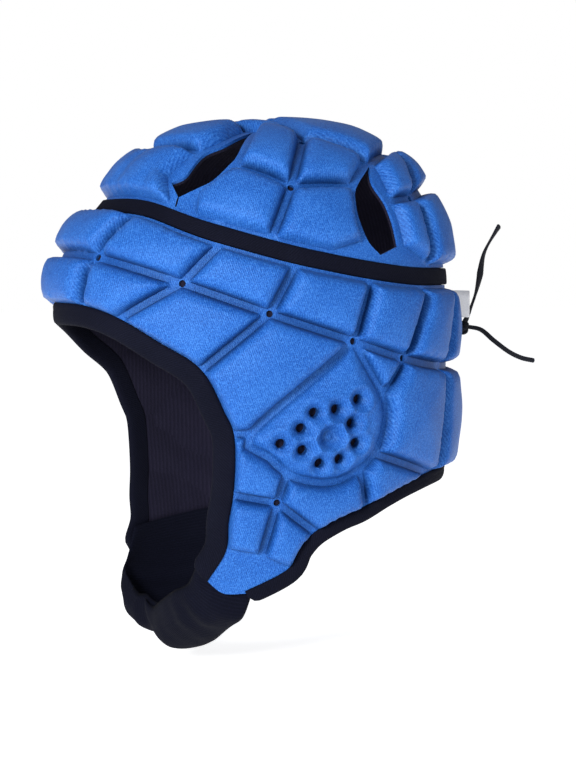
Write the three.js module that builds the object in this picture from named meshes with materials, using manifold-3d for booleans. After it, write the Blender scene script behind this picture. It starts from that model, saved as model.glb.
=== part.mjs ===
// A rugby scrum cap: a soft padded head guard with a crown, a wrap-round side panel with cheek flaps,
// tape bindings, a lapped chin strap and a laced gap at the back.
// Millimetres. +Z is up, the wearer looks along -Y, the wearer's left is +X.
// The origin is the inside of the crown, where the top of a head sits.
import * as THREE from "three";
import { mergeVertices } from "three/addons/utils/BufferGeometryUtils.js";
import Module from "manifold-3d";

const wasm = await Module();
wasm.setup();

// Driving sizes of the head form, at the panels' outer cloth between the pads.
const CAP_DROP = 230; // from the crown down to the tips of the cheek flaps
const HALF_BREADTH = 82.5; // from the middle out to the ears
const BROW_REACH = 107; // from the ear line forward to the brow
const NAPE_REACH = 96.5; // from the ear line back to the nape

// Cloth, foam and tape.
const PANEL_WALL = 1.5;
const LINING_WALL = 1.2;
const SEAT_GAP = 0.3; // between pieces that touch
const PAD_RISE = 6.6; // height of a pad's edge above the cloth between pads
const PAD_CROWN = 1.1; // how much higher a pad's middle is than its edge
const EAR_RISE = 5; // height of the ear dome's edge
const GROOVE = 5; // width of the channel between two pads, at its bottom
const PAD_SLOPE = 2.4; // how far a pad's side leans in on its way up
const PAD_CORNER = 5; // radius of a pad's corners, seen from outside
const VENT_FLANGE = 5; // flat cloth between a pad and a vent
const BAND_WIDTH = 9;
const BAND_PROUD = 1; // how far the band stands out of the panels' cloth
const BINDING_PROUD = 0.9;
const FACE_BINDING_WIDTH = 9.5;
const NECK_BINDING_WIDTH = 6.5;
const VENT_HOLE = 3.4; // diameter of the punched holes where channels cross
const EAR_HOLE = 4.8; // diameter of the holes in an ear dome
const HOLE_SIDES = 6;

// Chin strap, lace and label.
const STRAP_PLY = 2.4; // thickness of each half of the chin strap
const STRAP_LAP = 22; // how far each half runs past the middle
const STRAP_CUP = 1.5; // how far the strap's middle bulges out from its edges
const STRAP_SEAT = 0.7; // between the strap's end and the lining that it is sewn to
const CHIN_FORWARD = 59; // from the ear line to the strap's front edge, at the middle
const CHIN_DEPTH = 33.5; // from the level of the flap tips down to the strap's rear edge, at the middle
const GAP_ANGLE = 173; // where the side panel ends at the back; 180 is the middle of the nape
const LACE_WIDTH = 2.6;
const LACE_REACH = 7.4; // from the middle of the gap to the turns of the lace
const LACE_DROP = 113; // from the crown down to the lace's top turns
const LACE_PITCH = 14; // from one pair of turns down to the next
const LACE_ASIDE = 2; // how far the upright end leaves the knot beside its middle
const KNOT_DROP = 102.5;
const KNOT_REACH = 108.5; // from the ear line back to the knot's middle
const KNOT_BREADTH = 10;
const KNOT_DEPTH = 7.2;
const KNOT_HEIGHT = 8.6;
const LABEL_REACH = 113; // from the ear line back to the label's free edge
const LABEL_DROP = 83;
const LABEL_HEIGHT = 14.3;
const LABEL_THICKNESS = 1.2;

// Mesh fineness: the longest step along a free edge, a channel, a pad's side and the strap, then counts.
const EDGE_STEP = 12;
const CHANNEL_STEP = 20;
const PAD_STEP = 34;
const STRAP_STEP = 9;
const BAND_STATIONS = 72;
const CORD_SIDES = 8;
const CORD_STEP = 2.4; // length of a cord's step, in diameters

const STACK = PANEL_WALL + SEAT_GAP + LINING_WALL;
const LINING_TOP = -(PANEL_WALL + SEAT_GAP);

// Level sections of the head form, from the crown down.
// Columns: drop as a share of CAP_DROP, half width as a share of HALF_BREADTH, and the reach to the front
// and to the back as shares of BROW_REACH and NAPE_REACH.
const FORM = [
  [0, 0, 0, 0],
  [0.015, 0.34, 0.26, 0.33],
  [0.04, 0.56, 0.45, 0.56],
  [0.076, 0.71, 0.595, 0.735],
  [0.124, 0.82, 0.7, 0.835],
  [0.176, 0.9, 0.785, 0.905],
  [0.233, 0.955, 0.905, 0.95],
  [0.307, 0.99, 0.985, 0.985],
  [0.428, 1, 1, 1],
  [0.559, 0.995, 0.985, 1],
  [0.689, 0.97, 0.945, 0.995],
  [0.82, 0.92, 0.905, 0.97],
  [0.95, 0.86, 0.86, 0.915],
  [1.08, 0.8, 0.805, 0.83],
  [1.21, 0.73, 0.75, 0.75],
];

// The band's middle line. Columns: angle from the brow in degrees, drop as a share of CAP_DROP.
const BAND_LINE = [
  [0, 0.172],
  [30, 0.18],
  [60, 0.233],
  [90, 0.289],
  [120, 0.32],
  [150, 0.324],
  [180, 0.324],
];

// Where the channels of the crown cross, on the wearer's left and on the middle line.
// Columns: angle in degrees, drop as a share of CAP_DROP. A null drop lies on the band.
const CROWN_CROSSINGS = {
  crown: [0, 0],
  brow_foot: [0, null],
  brow_side: [21, null],
  seam_foot: [42, null],
  temple_seam: [50, null],
  temple_foot: [59, null],
  side_foot: [76, null],
  ear_foot: [94, null],
  bridge_foot: [111, null],
  rear_foot: [134, null],
  nape_side: [157, null],
  nape_foot: [180, null],
  brow_row: [0, 0.063],
  brow_top: [0, 0.011],
  nape_top: [180, 0.063],
  nape_row: [180, 0.145],
  side_top: [95, 0.037],
  side_row: [82, 0.137],
  rear_top: [156, 0.059],
  rear_row: [135, 0.155],
  front_vent_tip: [58, 0.011],
  front_vent_1: [59.5, 0.061],
  front_vent_2: [57, 0.09],
  front_vent_3: [52.5, 0.121],
  front_vent_4: [47, 0.139],
  front_vent_foot: [41, 0.157],
  front_vent_corner: [35, 0.125],
  front_vent_5: [40, 0.11],
  front_vent_6: [42, 0.062],
  front_vent_7: [49, 0.04],
  rear_vent_tip: [120, 0.087],
  rear_vent_1: [107.5, 0.135],
  rear_vent_2: [105, 0.172],
  rear_vent_3: [105, 0.207],
  rear_vent_4: [107, 0.25],
  rear_vent_foot: [111, 0.278],
  rear_vent_corner: [119.5, 0.258],
  rear_vent_5: [119.3, 0.207],
  rear_vent_6: [118.5, 0.165],
  rear_vent_7: [116.5, 0.125],
};

// Cells of the crown. A middle cell is given by its left half, from one end of the middle line to the other.
const CROWN_CELLS = [
  { middle: true,
    names: "brow_row front_vent_6 front_vent_5 front_vent_corner front_vent_foot seam_foot brow_side" +
      " brow_foot",
    pad: "brow_row front_vent_6 front_vent_corner seam_foot brow_side brow_foot" },
  { middle: true, names: "brow_top front_vent_tip front_vent_7 front_vent_6 brow_row" },
  { names: "brow_top crown side_top front_vent_tip" },
  { names: "crown nape_top rear_top rear_vent_tip side_top" },
  { names: "front_vent_tip side_top side_row front_vent_2 front_vent_1" },
  { names: "front_vent_2 side_row side_foot temple_foot temple_seam seam_foot front_vent_foot front_vent_4" +
      " front_vent_3",
    pad: "front_vent_2 side_row side_foot temple_foot temple_seam front_vent_4" },
  { names: "side_top rear_vent_tip rear_vent_1 side_row" },
  { names: "side_row rear_vent_1 rear_vent_2 rear_vent_3 rear_vent_4 rear_vent_foot bridge_foot ear_foot" +
      " side_foot",
    pad: "side_row rear_vent_1 rear_vent_3 rear_vent_4 ear_foot side_foot" },
  { names: "rear_vent_tip rear_top rear_row rear_vent_6 rear_vent_7",
    pad: "rear_vent_tip rear_top rear_row rear_vent_6" },
  { names: "rear_vent_6 rear_row rear_foot rear_vent_corner rear_vent_5",
    pad: "rear_vent_6 rear_row rear_foot rear_vent_corner" },
  { flat: true, names: "rear_foot bridge_foot rear_vent_foot rear_vent_corner" },
  { names: "rear_top nape_top nape_row rear_row" },
  { names: "rear_row nape_row nape_foot nape_side rear_foot" },
];

// Where the channels of the side panel cross, in the same columns.
// The edge_ names lie on the face edge, the neck_ names on the neck edge.
const SIDE_CROSSINGS = {
  brow_head: [0, null],
  brow_cut: [30, null],
  temple_cut: [62, null],
  side_cut: [83, null],
  ear_cut: [106, null],
  rear_cut: [130, null],
  nape_cut: [152, null],
  gap_head: [GAP_ANGLE, null],
  brow_channel: [0, 0.276],
  brow_hole: [22, 0.283],
  temple_hole: [52.5, 0.337],
  side_hole: [76, 0.4],
  ear_hole: [100, 0.459],
  rear_hole: [119, 0.498],
  nape_hole: [141, 0.52],
  gap_hole: [GAP_ANGLE, 0.52],
  edge_brow: [0, 0.387],
  edge_brow_side: [18, 0.391],
  edge_temple: [32, 0.415],
  edge_temple_side: [45, 0.463],
  edge_cheek_top: [57, 0.52],
  edge_cheek: [63, 0.61],
  edge_jaw_top: [65, 0.65],
  edge_jaw: [65.2, 0.707],
  edge_flap_top: [64.5, 0.778],
  edge_flap: [63, 0.837],
  edge_flap_low: [62, 0.898],
  edge_tip: [56, 0.961],
  neck_tip: [69, 0.992],
  neck_flap: [82.5, 0.945],
  neck_flap_top: [86, 0.9],
  neck_jaw: [90.5, 0.866],
  neck_ear: [98.5, 0.837],
  neck_ear_back: [106, 0.82],
  neck_side: [115, 0.793],
  neck_rear_side: [125, 0.772],
  neck_rear: [138, 0.757],
  neck_nape: [155, 0.75],
  gap_foot: [GAP_ANGLE, 0.746],
  ear_ring_1: [105, 0.515],
  ear_ring_2: [110.5, 0.573],
  ear_ring_3: [112, 0.62],
  ear_ring_4: [110, 0.68],
  ear_ring_5: [108.5, 0.7],
  ear_ring_6: [103.5, 0.73],
  ear_ring_7: [94.5, 0.757],
  ear_ring_8: [86, 0.751],
  ear_ring_9: [80.5, 0.735],
  ear_ring_10: [75.5, 0.7],
  ear_ring_11: [70.5, 0.648],
  jaw_hole: [78, 0.797],
  flap_seam: [73.5, 0.915],
};

const SIDE_CELLS = [
  { middle: true, names: "brow_head brow_cut brow_hole brow_channel" },
  { middle: true, names: "brow_channel brow_hole edge_brow_side edge_brow" },
  { names: "brow_cut temple_cut temple_hole brow_hole" },
  { names: "temple_cut side_cut side_hole temple_hole" },
  { names: "side_cut ear_cut ear_hole side_hole" },
  { names: "ear_cut rear_cut rear_hole ear_hole" },
  { names: "rear_cut nape_cut nape_hole rear_hole" },
  { names: "nape_cut gap_head gap_hole nape_hole" },
  { names: "brow_hole temple_hole edge_temple edge_brow_side" },
  { names: "temple_hole side_hole edge_cheek_top edge_temple_side edge_temple" },
  { names: "side_hole ear_hole ear_ring_11 edge_jaw_top edge_cheek edge_cheek_top" },
  { ear: true,
    names: "ear_hole ear_ring_1 ear_ring_2 ear_ring_3 ear_ring_4 ear_ring_5 ear_ring_6 ear_ring_7" +
      " ear_ring_8 ear_ring_9 ear_ring_10 ear_ring_11",
    pad: "ear_hole ear_ring_2 ear_ring_4 ear_ring_6 ear_ring_7 ear_ring_8 ear_ring_10 ear_ring_11" },
  { names: "ear_hole rear_hole ear_ring_2 ear_ring_1" },
  { names: "rear_hole nape_hole neck_rear ear_ring_5 ear_ring_4 ear_ring_3 ear_ring_2",
    pad: "rear_hole nape_hole neck_rear ear_ring_4 ear_ring_3 ear_ring_2" },
  { names: "nape_hole gap_hole gap_foot neck_nape neck_rear" },
  { names: "ear_ring_5 neck_rear neck_rear_side neck_side neck_ear_back ear_ring_6",
    pad: "ear_ring_5 neck_rear neck_side neck_ear_back ear_ring_6" },
  { names: "edge_jaw_top ear_ring_11 ear_ring_10 ear_ring_9 jaw_hole edge_flap_top edge_jaw",
    pad: "edge_jaw_top ear_ring_11 ear_ring_9 jaw_hole edge_flap_top" },
  { names: "ear_ring_9 ear_ring_8 ear_ring_7 ear_ring_6 neck_ear_back neck_ear neck_jaw jaw_hole",
    pad: "ear_ring_9 ear_ring_7 ear_ring_6 neck_ear_back neck_jaw jaw_hole" },
  { names: "edge_flap_top jaw_hole flap_seam edge_flap_low edge_flap",
    pad: "edge_flap_top jaw_hole flap_seam edge_flap_low" },
  { names: "jaw_hole neck_jaw neck_flap_top neck_flap flap_seam",
    pad: "jaw_hole neck_jaw neck_flap flap_seam" },
  { flat: true, names: "edge_flap_low flap_seam neck_flap neck_tip edge_tip" },
];

const CROWN_HOLES = ["side_top", "side_row", "rear_top", "rear_row"];
const SIDE_HOLES = ["brow_hole", "temple_hole", "side_hole", "ear_hole", "rear_hole", "jaw_hole"];

// Holes of the ear dome. Columns: angle in degrees, drop as a share of CAP_DROP.
const EAR_HOLES = [
  [101, 0.58],
  [94, 0.6],
  [87.5, 0.606],
  [84, 0.638],
  [78.5, 0.67],
  [84.5, 0.684],
  [89.5, 0.713],
  [95.5, 0.705],
  [100.5, 0.672],
  [99, 0.63],
];

// Where the chin strap's left half is sewn inside the flap, from its end down to the flap's tip.
// Columns: angle and drop share of the rear edge, angle and drop share of the front edge.
const STRAP_FOOT = [
  [71.5, 0.935, 58.5, 0.905],
  [69.5, 0.985, 56.5, 0.955],
];

// The rest of the left half, from the flap to the middle.
// Columns: x, y and z share of the rear edge, then of the front edge; x in HALF_BREADTH from the middle,
// y in CHIN_FORWARD from the ear line, z in CHIN_DEPTH below the level of the flap tips.
const STRAP = [
  [0.7, -0.525, 0.27, 0.56, -0.92, -0.03],
  [0.56, -0.56, 0.48, 0.425, -0.95, 0.165],
  [0.265, -0.645, 0.835, 0.18, -0.99, 0.49],
  [0, -0.66, 1, 0, -1, 0.64],
];

// The lace's way over the gap, from the knot down and back up to it.
// Columns: across in LACE_REACH, turns down in LACE_PITCH, lift over the bindings in LACE_WIDTH.
const LACING = [
  [-1, 0, 0],
  [0, 0.5, 0],
  [1, 1, 0],
  [0, 1.5, 0],
  [-1, 2, 0],
  [-0.8, 2.3, 0],
  [0.8, 2.3, 0],
  [1, 2, 0],
  [0, 1.5, 1.15],
  [-1, 1, 0],
  [0, 0.5, 1.15],
  [1, 0, 0],
];

// The free ends of the lace, from the knot outwards, as they hang.
// Columns: back and up from the knot's middle, in millimetres.
const LACE_END_UP = [
  [2.4, 4],
  [6.5, 16],
  [9, 24],
  [11.5, 37],
  [16, 45],
  [20.5, 52],
];
const LACE_END_DOWN = [
  [4.6, 0.3],
  [9.5, -1.5],
  [17, -7],
  [26, -13.5],
  [32.5, -16.5],
  [40, -18],
];

const DEG = Math.PI / 180;
const vec = (x, y, z) => new THREE.Vector3(x, y, z);

// Value of one column of a table at a fractional row, as a smooth curve through the rows.
function rowCurve(table, column, row) {
  const last = table.length - 1;
  const i = Math.min(Math.max(Math.floor(row), 0), last - 1);
  const f = row - i;
  const at = (k) => {
    if (k < 0) return column === 0 ? table[1][0] : -table[1][column];
    return table[Math.min(k, last)][column];
  };
  const [p0, p1, p2, p3] = [at(i - 1), at(i), at(i + 1), at(i + 2)];
  return p1 + 0.5 * f * (p2 - p0 + f * (2 * p0 - 5 * p1 + 4 * p2 - p3 + f * (3 * (p1 - p2) + p3 - p0)));
}

// The level section at a drop below the crown's cloth, in millimetres.
function sectionAt(drop) {
  let low = 0;
  let high = FORM.length - 1;
  for (let i = 0; i < 34; i++) {
    const middle = (low + high) / 2;
    if (rowCurve(FORM, 0, middle) * CAP_DROP < drop) low = middle;
    else high = middle;
  }
  return {
    half: Math.max(rowCurve(FORM, 1, low), 0) * HALF_BREADTH,
    front: Math.max(rowCurve(FORM, 2, low), 0) * BROW_REACH,
    back: Math.max(rowCurve(FORM, 3, low), 0) * NAPE_REACH,
  };
}

// Point of the cloth at an angle from the brow and a drop, both of the head form.
function clothPoint({ angle, drop }) {
  const s = sectionAt(drop);
  const across = Math.sin(angle * DEG);
  const along = Math.cos(angle * DEG);
  return vec(s.half * across, -(along > 0 ? s.front : s.back) * along, STACK - drop);
}

// The outward normal there.
function clothNormal({ angle, drop }) {
  if (drop < 0.5) return vec(0, 0, 1);
  const step = 0.4;
  const round = clothPoint({ angle: angle + step, drop }).sub(clothPoint({ angle: angle - step, drop }));
  const down = clothPoint({ angle, drop: drop + step }).sub(clothPoint({ angle, drop: drop - step }));
  return down.cross(round).normalize();
}

// Angle and drop of a point that lies on the cloth.
function placeOf(point) {
  const drop = STACK - point.z;
  const s = sectionAt(drop);
  const reach = point.y < 0 ? s.front : s.back;
  return { angle: Math.atan2(point.x / s.half, -point.y / reach) / DEG, drop };
}

// A point moved out of the cloth along the normal.
const raised = (place, height) => clothPoint(place).addScaledVector(clothNormal(place), height);

// Drop of the band's middle line at an angle, moved down the cloth by an offset.
function bandPlace(angle, offset) {
  const size = Math.abs(angle);
  const i = Math.min(BAND_LINE.findLastIndex((row) => row[0] <= size), BAND_LINE.length - 2);
  const row = i + (size - BAND_LINE[i][0]) / (BAND_LINE[i + 1][0] - BAND_LINE[i][0]);
  const smooth = bandCurve(row);
  const drop = smooth * CAP_DROP;
  const step = 1;
  const below = clothPoint({ angle, drop: drop + step });
  const above = clothPoint({ angle, drop: drop - step });
  return { angle, drop: drop + (offset * 2 * step) / below.distanceTo(above) };
}

function bandCurve(row) {
  const last = BAND_LINE.length - 1;
  const i = Math.min(Math.floor(row), last - 1);
  const f = row - i;
  const at = (k) => BAND_LINE[k < 0 ? -k : k > last ? 2 * last - k : k][1];
  const [p0, p1, p2, p3] = [at(i - 1), at(i), at(i + 1), at(i + 2)];
  return p1 + 0.5 * f * (p2 - p0 + f * (2 * p0 - 5 * p1 + 4 * p2 - p3 + f * (3 * (p1 - p2) + p3 - p0)));
}

// One panel's crossings, cells, and the points that its cells share along their edges.
class Panel {
  constructor(crossings, cells, bandSide) {
    this.bandSide = bandSide;
    this.places = new Map();
    for (const [name, [angle, share]] of Object.entries(crossings)) {
      const onBand = share === null;
      const atBand = bandPlace(angle, (bandSide * BAND_WIDTH) / 2);
      const place = onBand ? atBand : { angle, drop: share * CAP_DROP };
      this.places.set(name, { ...place, name, onBand });
      this.places.set("right_" + name, { ...place, angle: -angle, name, onBand });
    }
    this.cells = [];
    for (const cell of cells) {
      const left = cell.names.split(" ");
      const leftPad = (cell.pad || cell.names).split(" ");
      if (cell.middle) {
        this.cells.push(this.makeCell(cell, mirrored(left), mirrored(leftPad)));
      } else {
        const right = left.map((n) => "right_" + n).reverse();
        const rightPad = leftPad.map((n) => "right_" + n).reverse();
        this.cells.push(this.makeCell(cell, left, leftPad));
        this.cells.push(this.makeCell(cell, right, rightPad));
      }
    }
    this.markFreeEdges();
    for (const cell of this.cells) this.layOut(cell);
  }

  makeCell(cell, names, padNames) {
    return { flat: Boolean(cell.flat), ear: Boolean(cell.ear), names, padNames };
  }

  // An edge that only one cell has is free; its points are closer together.
  markFreeEdges() {
    const count = new Map();
    for (const cell of this.cells) {
      cell.names.forEach((a, i) => {
        const key = this.edgeKey(a, cell.names[(i + 1) % cell.names.length]);
        count.set(key, (count.get(key) || 0) + 1);
      });
    }
    this.free = new Set([...count].filter(([, n]) => n === 1).map(([key]) => key));
  }

  // Two names of one crossing on the middle line give one key.
  edgeKey(a, b) {
    const spot = (name) => {
      const p = clothPoint(this.places.get(name));
      return [p.x, p.y, p.z].map((v) => (Math.round(v * 100) || 0)).join(",");
    };
    return [spot(a), spot(b)].sort().join(" ");
  }

  // Places along the edge from a to b, without b.
  edgePlaces(a, b) {
    return this.stepPlaces(a, b, this.free.has(this.edgeKey(a, b)) ? EDGE_STEP : CHANNEL_STEP);
  }

  stepPlaces(a, b, step) {
    const from = this.places.get(a);
    const to = this.places.get(b);
    const count = Math.max(1, Math.round(clothPoint(from).distanceTo(clothPoint(to)) / step));
    const outward = clothNormal(from).add(clothNormal(to)).normalize();
    return Array.from({ length: count }, (_, i) => {
      if (i === 0) return from;
      const f = i / count;
      const angle = from.angle + (to.angle - from.angle) * f;
      if (from.onBand && to.onBand) return bandPlace(angle, (this.bandSide * BAND_WIDTH) / 2);
      return ontoCloth(clothPoint(from).lerp(clothPoint(to), f), outward);
    });
  }

  // Gives a cell its outline, its own flat plane, and the pad's corners on that plane.
  layOut(cell) {
    const { names } = cell;
    cell.outline = names.flatMap((a, i) => this.edgePlaces(a, names[(i + 1) % names.length]));
    const points = cell.outline.map(clothPoint);
    const centre = points.reduce((sum, p) => sum.add(p), vec(0, 0, 0)).divideScalar(points.length);
    const normal = vec(0, 0, 0);
    points.forEach((p, i) => {
      const q = points[(i + 1) % points.length];
      normal.add(p.clone().sub(centre).cross(q.clone().sub(centre)));
    });
    normal.normalize();
    if (normal.dot(centre.clone().sub(vec(0, 0, -CAP_DROP / 3))) < 0) {
      normal.negate();
      cell.outline.reverse();
      cell.padNames.reverse();
    }
    const across = vec(0, 0, 1).cross(normal).normalize();
    if (across.lengthSq() < 0.5) across.set(1, 0, 0);
    cell.plane = { centre, across, up: normal.clone().cross(across), normal };
    cell.flatOutline = cell.outline.map((place) => this.toPlane(cell, clothPoint(place)));
    const { padNames } = cell;
    const nextPad = (i) => padNames[(i + 1) % padNames.length];
    cell.padCorners = padNames.flatMap((name, i) => this.padSide(cell, name, nextPad(i)));
  }

  // Corners of the pad's outline from one crossing up to the next: more than one where it follows an edge.
  padSide(cell, name, next) {
    const vent = name.includes("vent") && next.includes("vent");
    const apart = Math.abs(cell.names.indexOf(name) - cell.names.indexOf(next));
    const isEdge = apart === 1 || apart === cell.names.length - 1;
    const places = isEdge ? this.stepPlaces(name, next, PAD_STEP) : [this.places.get(name)];
    return places.map((place) => ({ at: this.toPlane(cell, clothPoint(place)), vent }));
  }

  toPlane(cell, point) {
    const { centre, across, up } = cell.plane;
    const d = point.clone().sub(centre);
    return new THREE.Vector2(d.dot(across), d.dot(up));
  }

  // The cloth's place straight above or below a point of the cell's plane.
  fromPlane(cell, flat) {
    const { centre, across, up, normal } = cell.plane;
    return ontoCloth(centre.clone().addScaledVector(across, flat.x).addScaledVector(up, flat.y), normal);
  }
}

function mirrored(left) {
  const inner = left.slice(1, -1).map((n) => "right_" + n);
  return [...left, ...inner.reverse()];
}

function isInside(point) {
  const drop = STACK - point.z;
  if (drop <= 0) return false;
  const s = sectionAt(drop);
  const reach = point.y < 0 ? s.front : s.back;
  return (point.x / s.half) ** 2 + (point.y / reach) ** 2 < 1;
}

// The cloth's place where a line through a point meets it.
function ontoCloth(point, outward) {
  let low = -30;
  let high = 40;
  for (let i = 0; i < 30; i++) {
    const middle = (low + high) / 2;
    if (isInside(point.clone().addScaledVector(outward, middle))) low = middle;
    else high = middle;
  }
  return placeOf(point.clone().addScaledVector(outward, low));
}

// A closed outline moved inwards by a distance of its own for each side, with cut corners.
function insetOutline(corners, distances, radius) {
  const count = corners.length;
  const side = (i) => {
    const a = corners[i];
    const b = corners[(i + 1) % count];
    const along = b.clone().sub(a).normalize();
    const inward = new THREE.Vector2(-along.y, along.x);
    return { start: a.clone().addScaledVector(inward, distances[i]), along };
  };
  const sides = corners.map((_, i) => side(i));
  const moved = corners.map((_, i) => {
    const a = sides[(i + count - 1) % count];
    const b = sides[i];
    const turn = a.along.cross(b.along);
    if (Math.abs(turn) < 0.02) return b.start;
    const between = b.start.clone().sub(a.start);
    return a.start.clone().addScaledVector(a.along, between.cross(b.along) / turn);
  });
  if (radius === 0) return moved;
  return moved.flatMap((p, i) => {
    const before = moved[(i + count - 1) % count];
    const after = moved[(i + 1) % count];
    const toBefore = before.clone().sub(p);
    const toAfter = after.clone().sub(p);
    const cosine = toBefore.dot(toAfter) / toBefore.length() / toAfter.length();
    const angle = Math.acos(THREE.MathUtils.clamp(cosine, -1, 1));
    if (angle > 160 * DEG) return [p];
    const reach = Math.min(radius / Math.tan(angle / 2), toBefore.length() * 0.4, toAfter.length() * 0.4);
    return [toBefore, toAfter].map((side) => p.clone().addScaledVector(side.normalize(), reach));
  });
}

// A shell under construction: loose triangles, faces out.
class Skin {
  constructor() {
    this.numbers = [];
  }

  triangle(a, b, c) {
    for (const p of [a, b, c]) this.numbers.push(p.x, p.y, p.z);
  }

  quad(a, b, c, d) {
    this.triangle(a, b, c);
    this.triangle(a, c, d);
  }

  // Rings of equal length, the first one outermost, seen anticlockwise from outside.
  ringSides(outer, inner, flip) {
    outer.forEach((a, i) => {
      const j = (i + 1) % outer.length;
      if (flip) this.quad(inner[i], inner[j], outer[j], a);
      else this.quad(a, outer[j], inner[j], inner[i]);
    });
  }

  fan(ring, tip, flip) {
    ring.forEach((a, i) => {
      const b = ring[(i + 1) % ring.length];
      if (flip) this.triangle(b, a, tip);
      else this.triangle(a, b, tip);
    });
  }

  // The strip between two flat loops that run the same way round a middle, given with their points in space.
  between(flatOuter, outer, flatInner, inner, flip) {
    const middle = middleOf(flatInner);
    const turns = (loop, from) => {
      const angles = loop.map((p) => p.clone().sub(middle).angle());
      const round = [0];
      for (let k = 1; k <= loop.length; k++) {
        const step = angles[(from + k) % loop.length] - angles[(from + k - 1) % loop.length];
        round.push(round[k - 1] + step - 2 * Math.PI * Math.round(step / (2 * Math.PI)));
      }
      return { round, first: angles[from] };
    };
    const outerTurns = turns(flatOuter, 0);
    const away = (q) => {
      const turn = q.clone().sub(middle).angle() - outerTurns.first;
      return Math.abs(turn - 2 * Math.PI * Math.round(turn / (2 * Math.PI)));
    };
    const start = flatInner.reduce((best, q, k) => (away(q) < away(flatInner[best]) ? k : best), 0);
    const innerTurns = turns(flatInner, start);
    let lead = innerTurns.first - outerTurns.first;
    lead -= 2 * Math.PI * Math.round(lead / (2 * Math.PI));
    let [i, j] = [0, 0];
    while (i < outer.length || j < inner.length) {
      const [a, b] = [outer[i % outer.length], outer[(i + 1) % outer.length]];
      const [c, d] = [inner[(start + j) % inner.length], inner[(start + j + 1) % inner.length]];
      const outerFirst = outerTurns.round[i + 1] < innerTurns.round[j + 1] + lead;
      if (j === inner.length || (i < outer.length && outerFirst)) {
        this.faceOut(a, b, c, flip);
        i++;
      } else {
        this.faceOut(a, d, c, flip);
        j++;
      }
    }
  }

  faceOut(a, b, c, flip) {
    if (flip) this.triangle(a, c, b);
    else this.triangle(a, b, c);
  }

  geometry() {
    const made = new THREE.BufferGeometry();
    made.setAttribute("position", new THREE.BufferAttribute(new Float32Array(this.numbers), 3));
    return mergeVertices(made, 1e-3);
  }
}

// How far the pad's foot keeps from each of its outline's sides.
function padInsets(cell, extra) {
  return cell.padCorners.map((corner) => (corner.vent ? VENT_FLANGE : GROOVE / 2) + extra);
}

function padRing(panel, cell, extra, radius) {
  const flat = insetOutline(cell.padCorners.map((c) => c.at), padInsets(cell, extra), radius);
  return { flat, places: flat.map((p) => panel.fromPlane(cell, p)) };
}

// A smooth face of a cell, at a height from the cloth: a ring half way in follows the head's curve.
function smoothFace(panel, skin, cell, height, flip) {
  const corners = cell.padCorners.map((corner) => corner.at);
  const middle = middleOf(corners);
  const flatRing = corners.map((p) => p.clone().lerp(middle, 0.5));
  const ring = flatRing.map((p) => raised(panel.fromPlane(cell, p), height));
  const outline = cell.outline.map((p) => raised(p, height));
  skin.between(cell.flatOutline, outline, flatRing, ring, flip);
  skin.fan(ring, raised(panel.fromPlane(cell, middle), height), flip);
}

const middleOf = (flat) =>
  flat.reduce((sum, p) => sum.add(p), new THREE.Vector2()).divideScalar(flat.length);

// The outer face of a cell with its pad.
function paddedFace(panel, skin, cell) {
  const rise = cell.ear ? EAR_RISE : PAD_RISE;
  const foot = padRing(panel, cell, 0, PAD_CORNER);
  const shoulder = padRing(panel, cell, PAD_SLOPE, PAD_CORNER - PAD_SLOPE);
  const centre = panel.fromPlane(cell, middleOf(shoulder.flat));
  const footPoints = foot.places.map((p) => raised(p, 0));
  const shoulderPoints = shoulder.places.map((p) => raised(p, rise));
  skin.between(cell.flatOutline, cell.outline.map((p) => raised(p, 0)), foot.flat, footPoints, false);
  skin.ringSides(footPoints, shoulderPoints, false);
  skin.fan(shoulderPoints, raised(centre, rise + PAD_CROWN), false);
}

// Walls along every edge that only one face has, from one height to another.
function edgeWalls(skin, outlines, top, bottom) {
  const spot = (p) => [p.x, p.y, p.z].map((v) => Math.round(v * 100) || 0).join(",");
  const steps = new Map();
  for (const outline of outlines) {
    outline.forEach((place, i) => {
      const next = outline[(i + 1) % outline.length];
      steps.set(spot(clothPoint(place)) + " " + spot(clothPoint(next)), [place, next]);
    });
  }
  for (const [key, [a, b]] of steps) {
    const [from, to] = key.split(" ");
    if (steps.has(to + " " + from)) continue;
    skin.quad(raised(b, top), raised(a, top), raised(a, bottom), raised(b, bottom));
  }
}

function asSolid(geometry) {
  return new wasm.Manifold(
    new wasm.Mesh({
      numProp: 3,
      vertProperties: geometry.attributes.position.array,
      triVerts: new Uint32Array(geometry.index.array),
    }),
  );
}

function asGeometry(solid) {
  const mesh = solid.getMesh();
  const made = new THREE.BufferGeometry();
  const positions = new Float32Array(mesh.numVert * 3);
  for (let i = 0; i < mesh.numVert; i++) {
    positions.set(mesh.vertProperties.subarray(i * mesh.numProp, i * mesh.numProp + 3), i * 3);
  }
  made.setAttribute("position", new THREE.BufferAttribute(positions, 3));
  made.setIndex(new THREE.BufferAttribute(mesh.triVerts, 1));
  return made;
}

// Two cells can lay faces back to back over their shared channel, which leaves a flat scrap beside the shell.
function withoutScraps(geometry) {
  const bodies = asSolid(geometry).decompose();
  return asGeometry(bodies.reduce((best, body) => (body.volume() > best.volume() ? body : best)));
}

// Punches round holes straight through the cloth at the places given.
function punched(geometry, places, diameter) {
  let solid = asSolid(geometry);
  for (const place of places) {
    const reach = 4 * STACK + PAD_RISE;
    const pin = new THREE.CylinderGeometry(diameter / 2, diameter / 2, 2 * reach, HOLE_SIDES);
    pin.applyQuaternion(new THREE.Quaternion().setFromUnitVectors(vec(0, 1, 0), clothNormal(place)));
    pin.translate(...clothPoint(place).toArray());
    solid = solid.subtract(asSolid(bare(pin)));
  }
  return asGeometry(solid);
}

const bothSides = (places) => places.flatMap((p) => [p, { ...p, angle: -p.angle }]);

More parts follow.
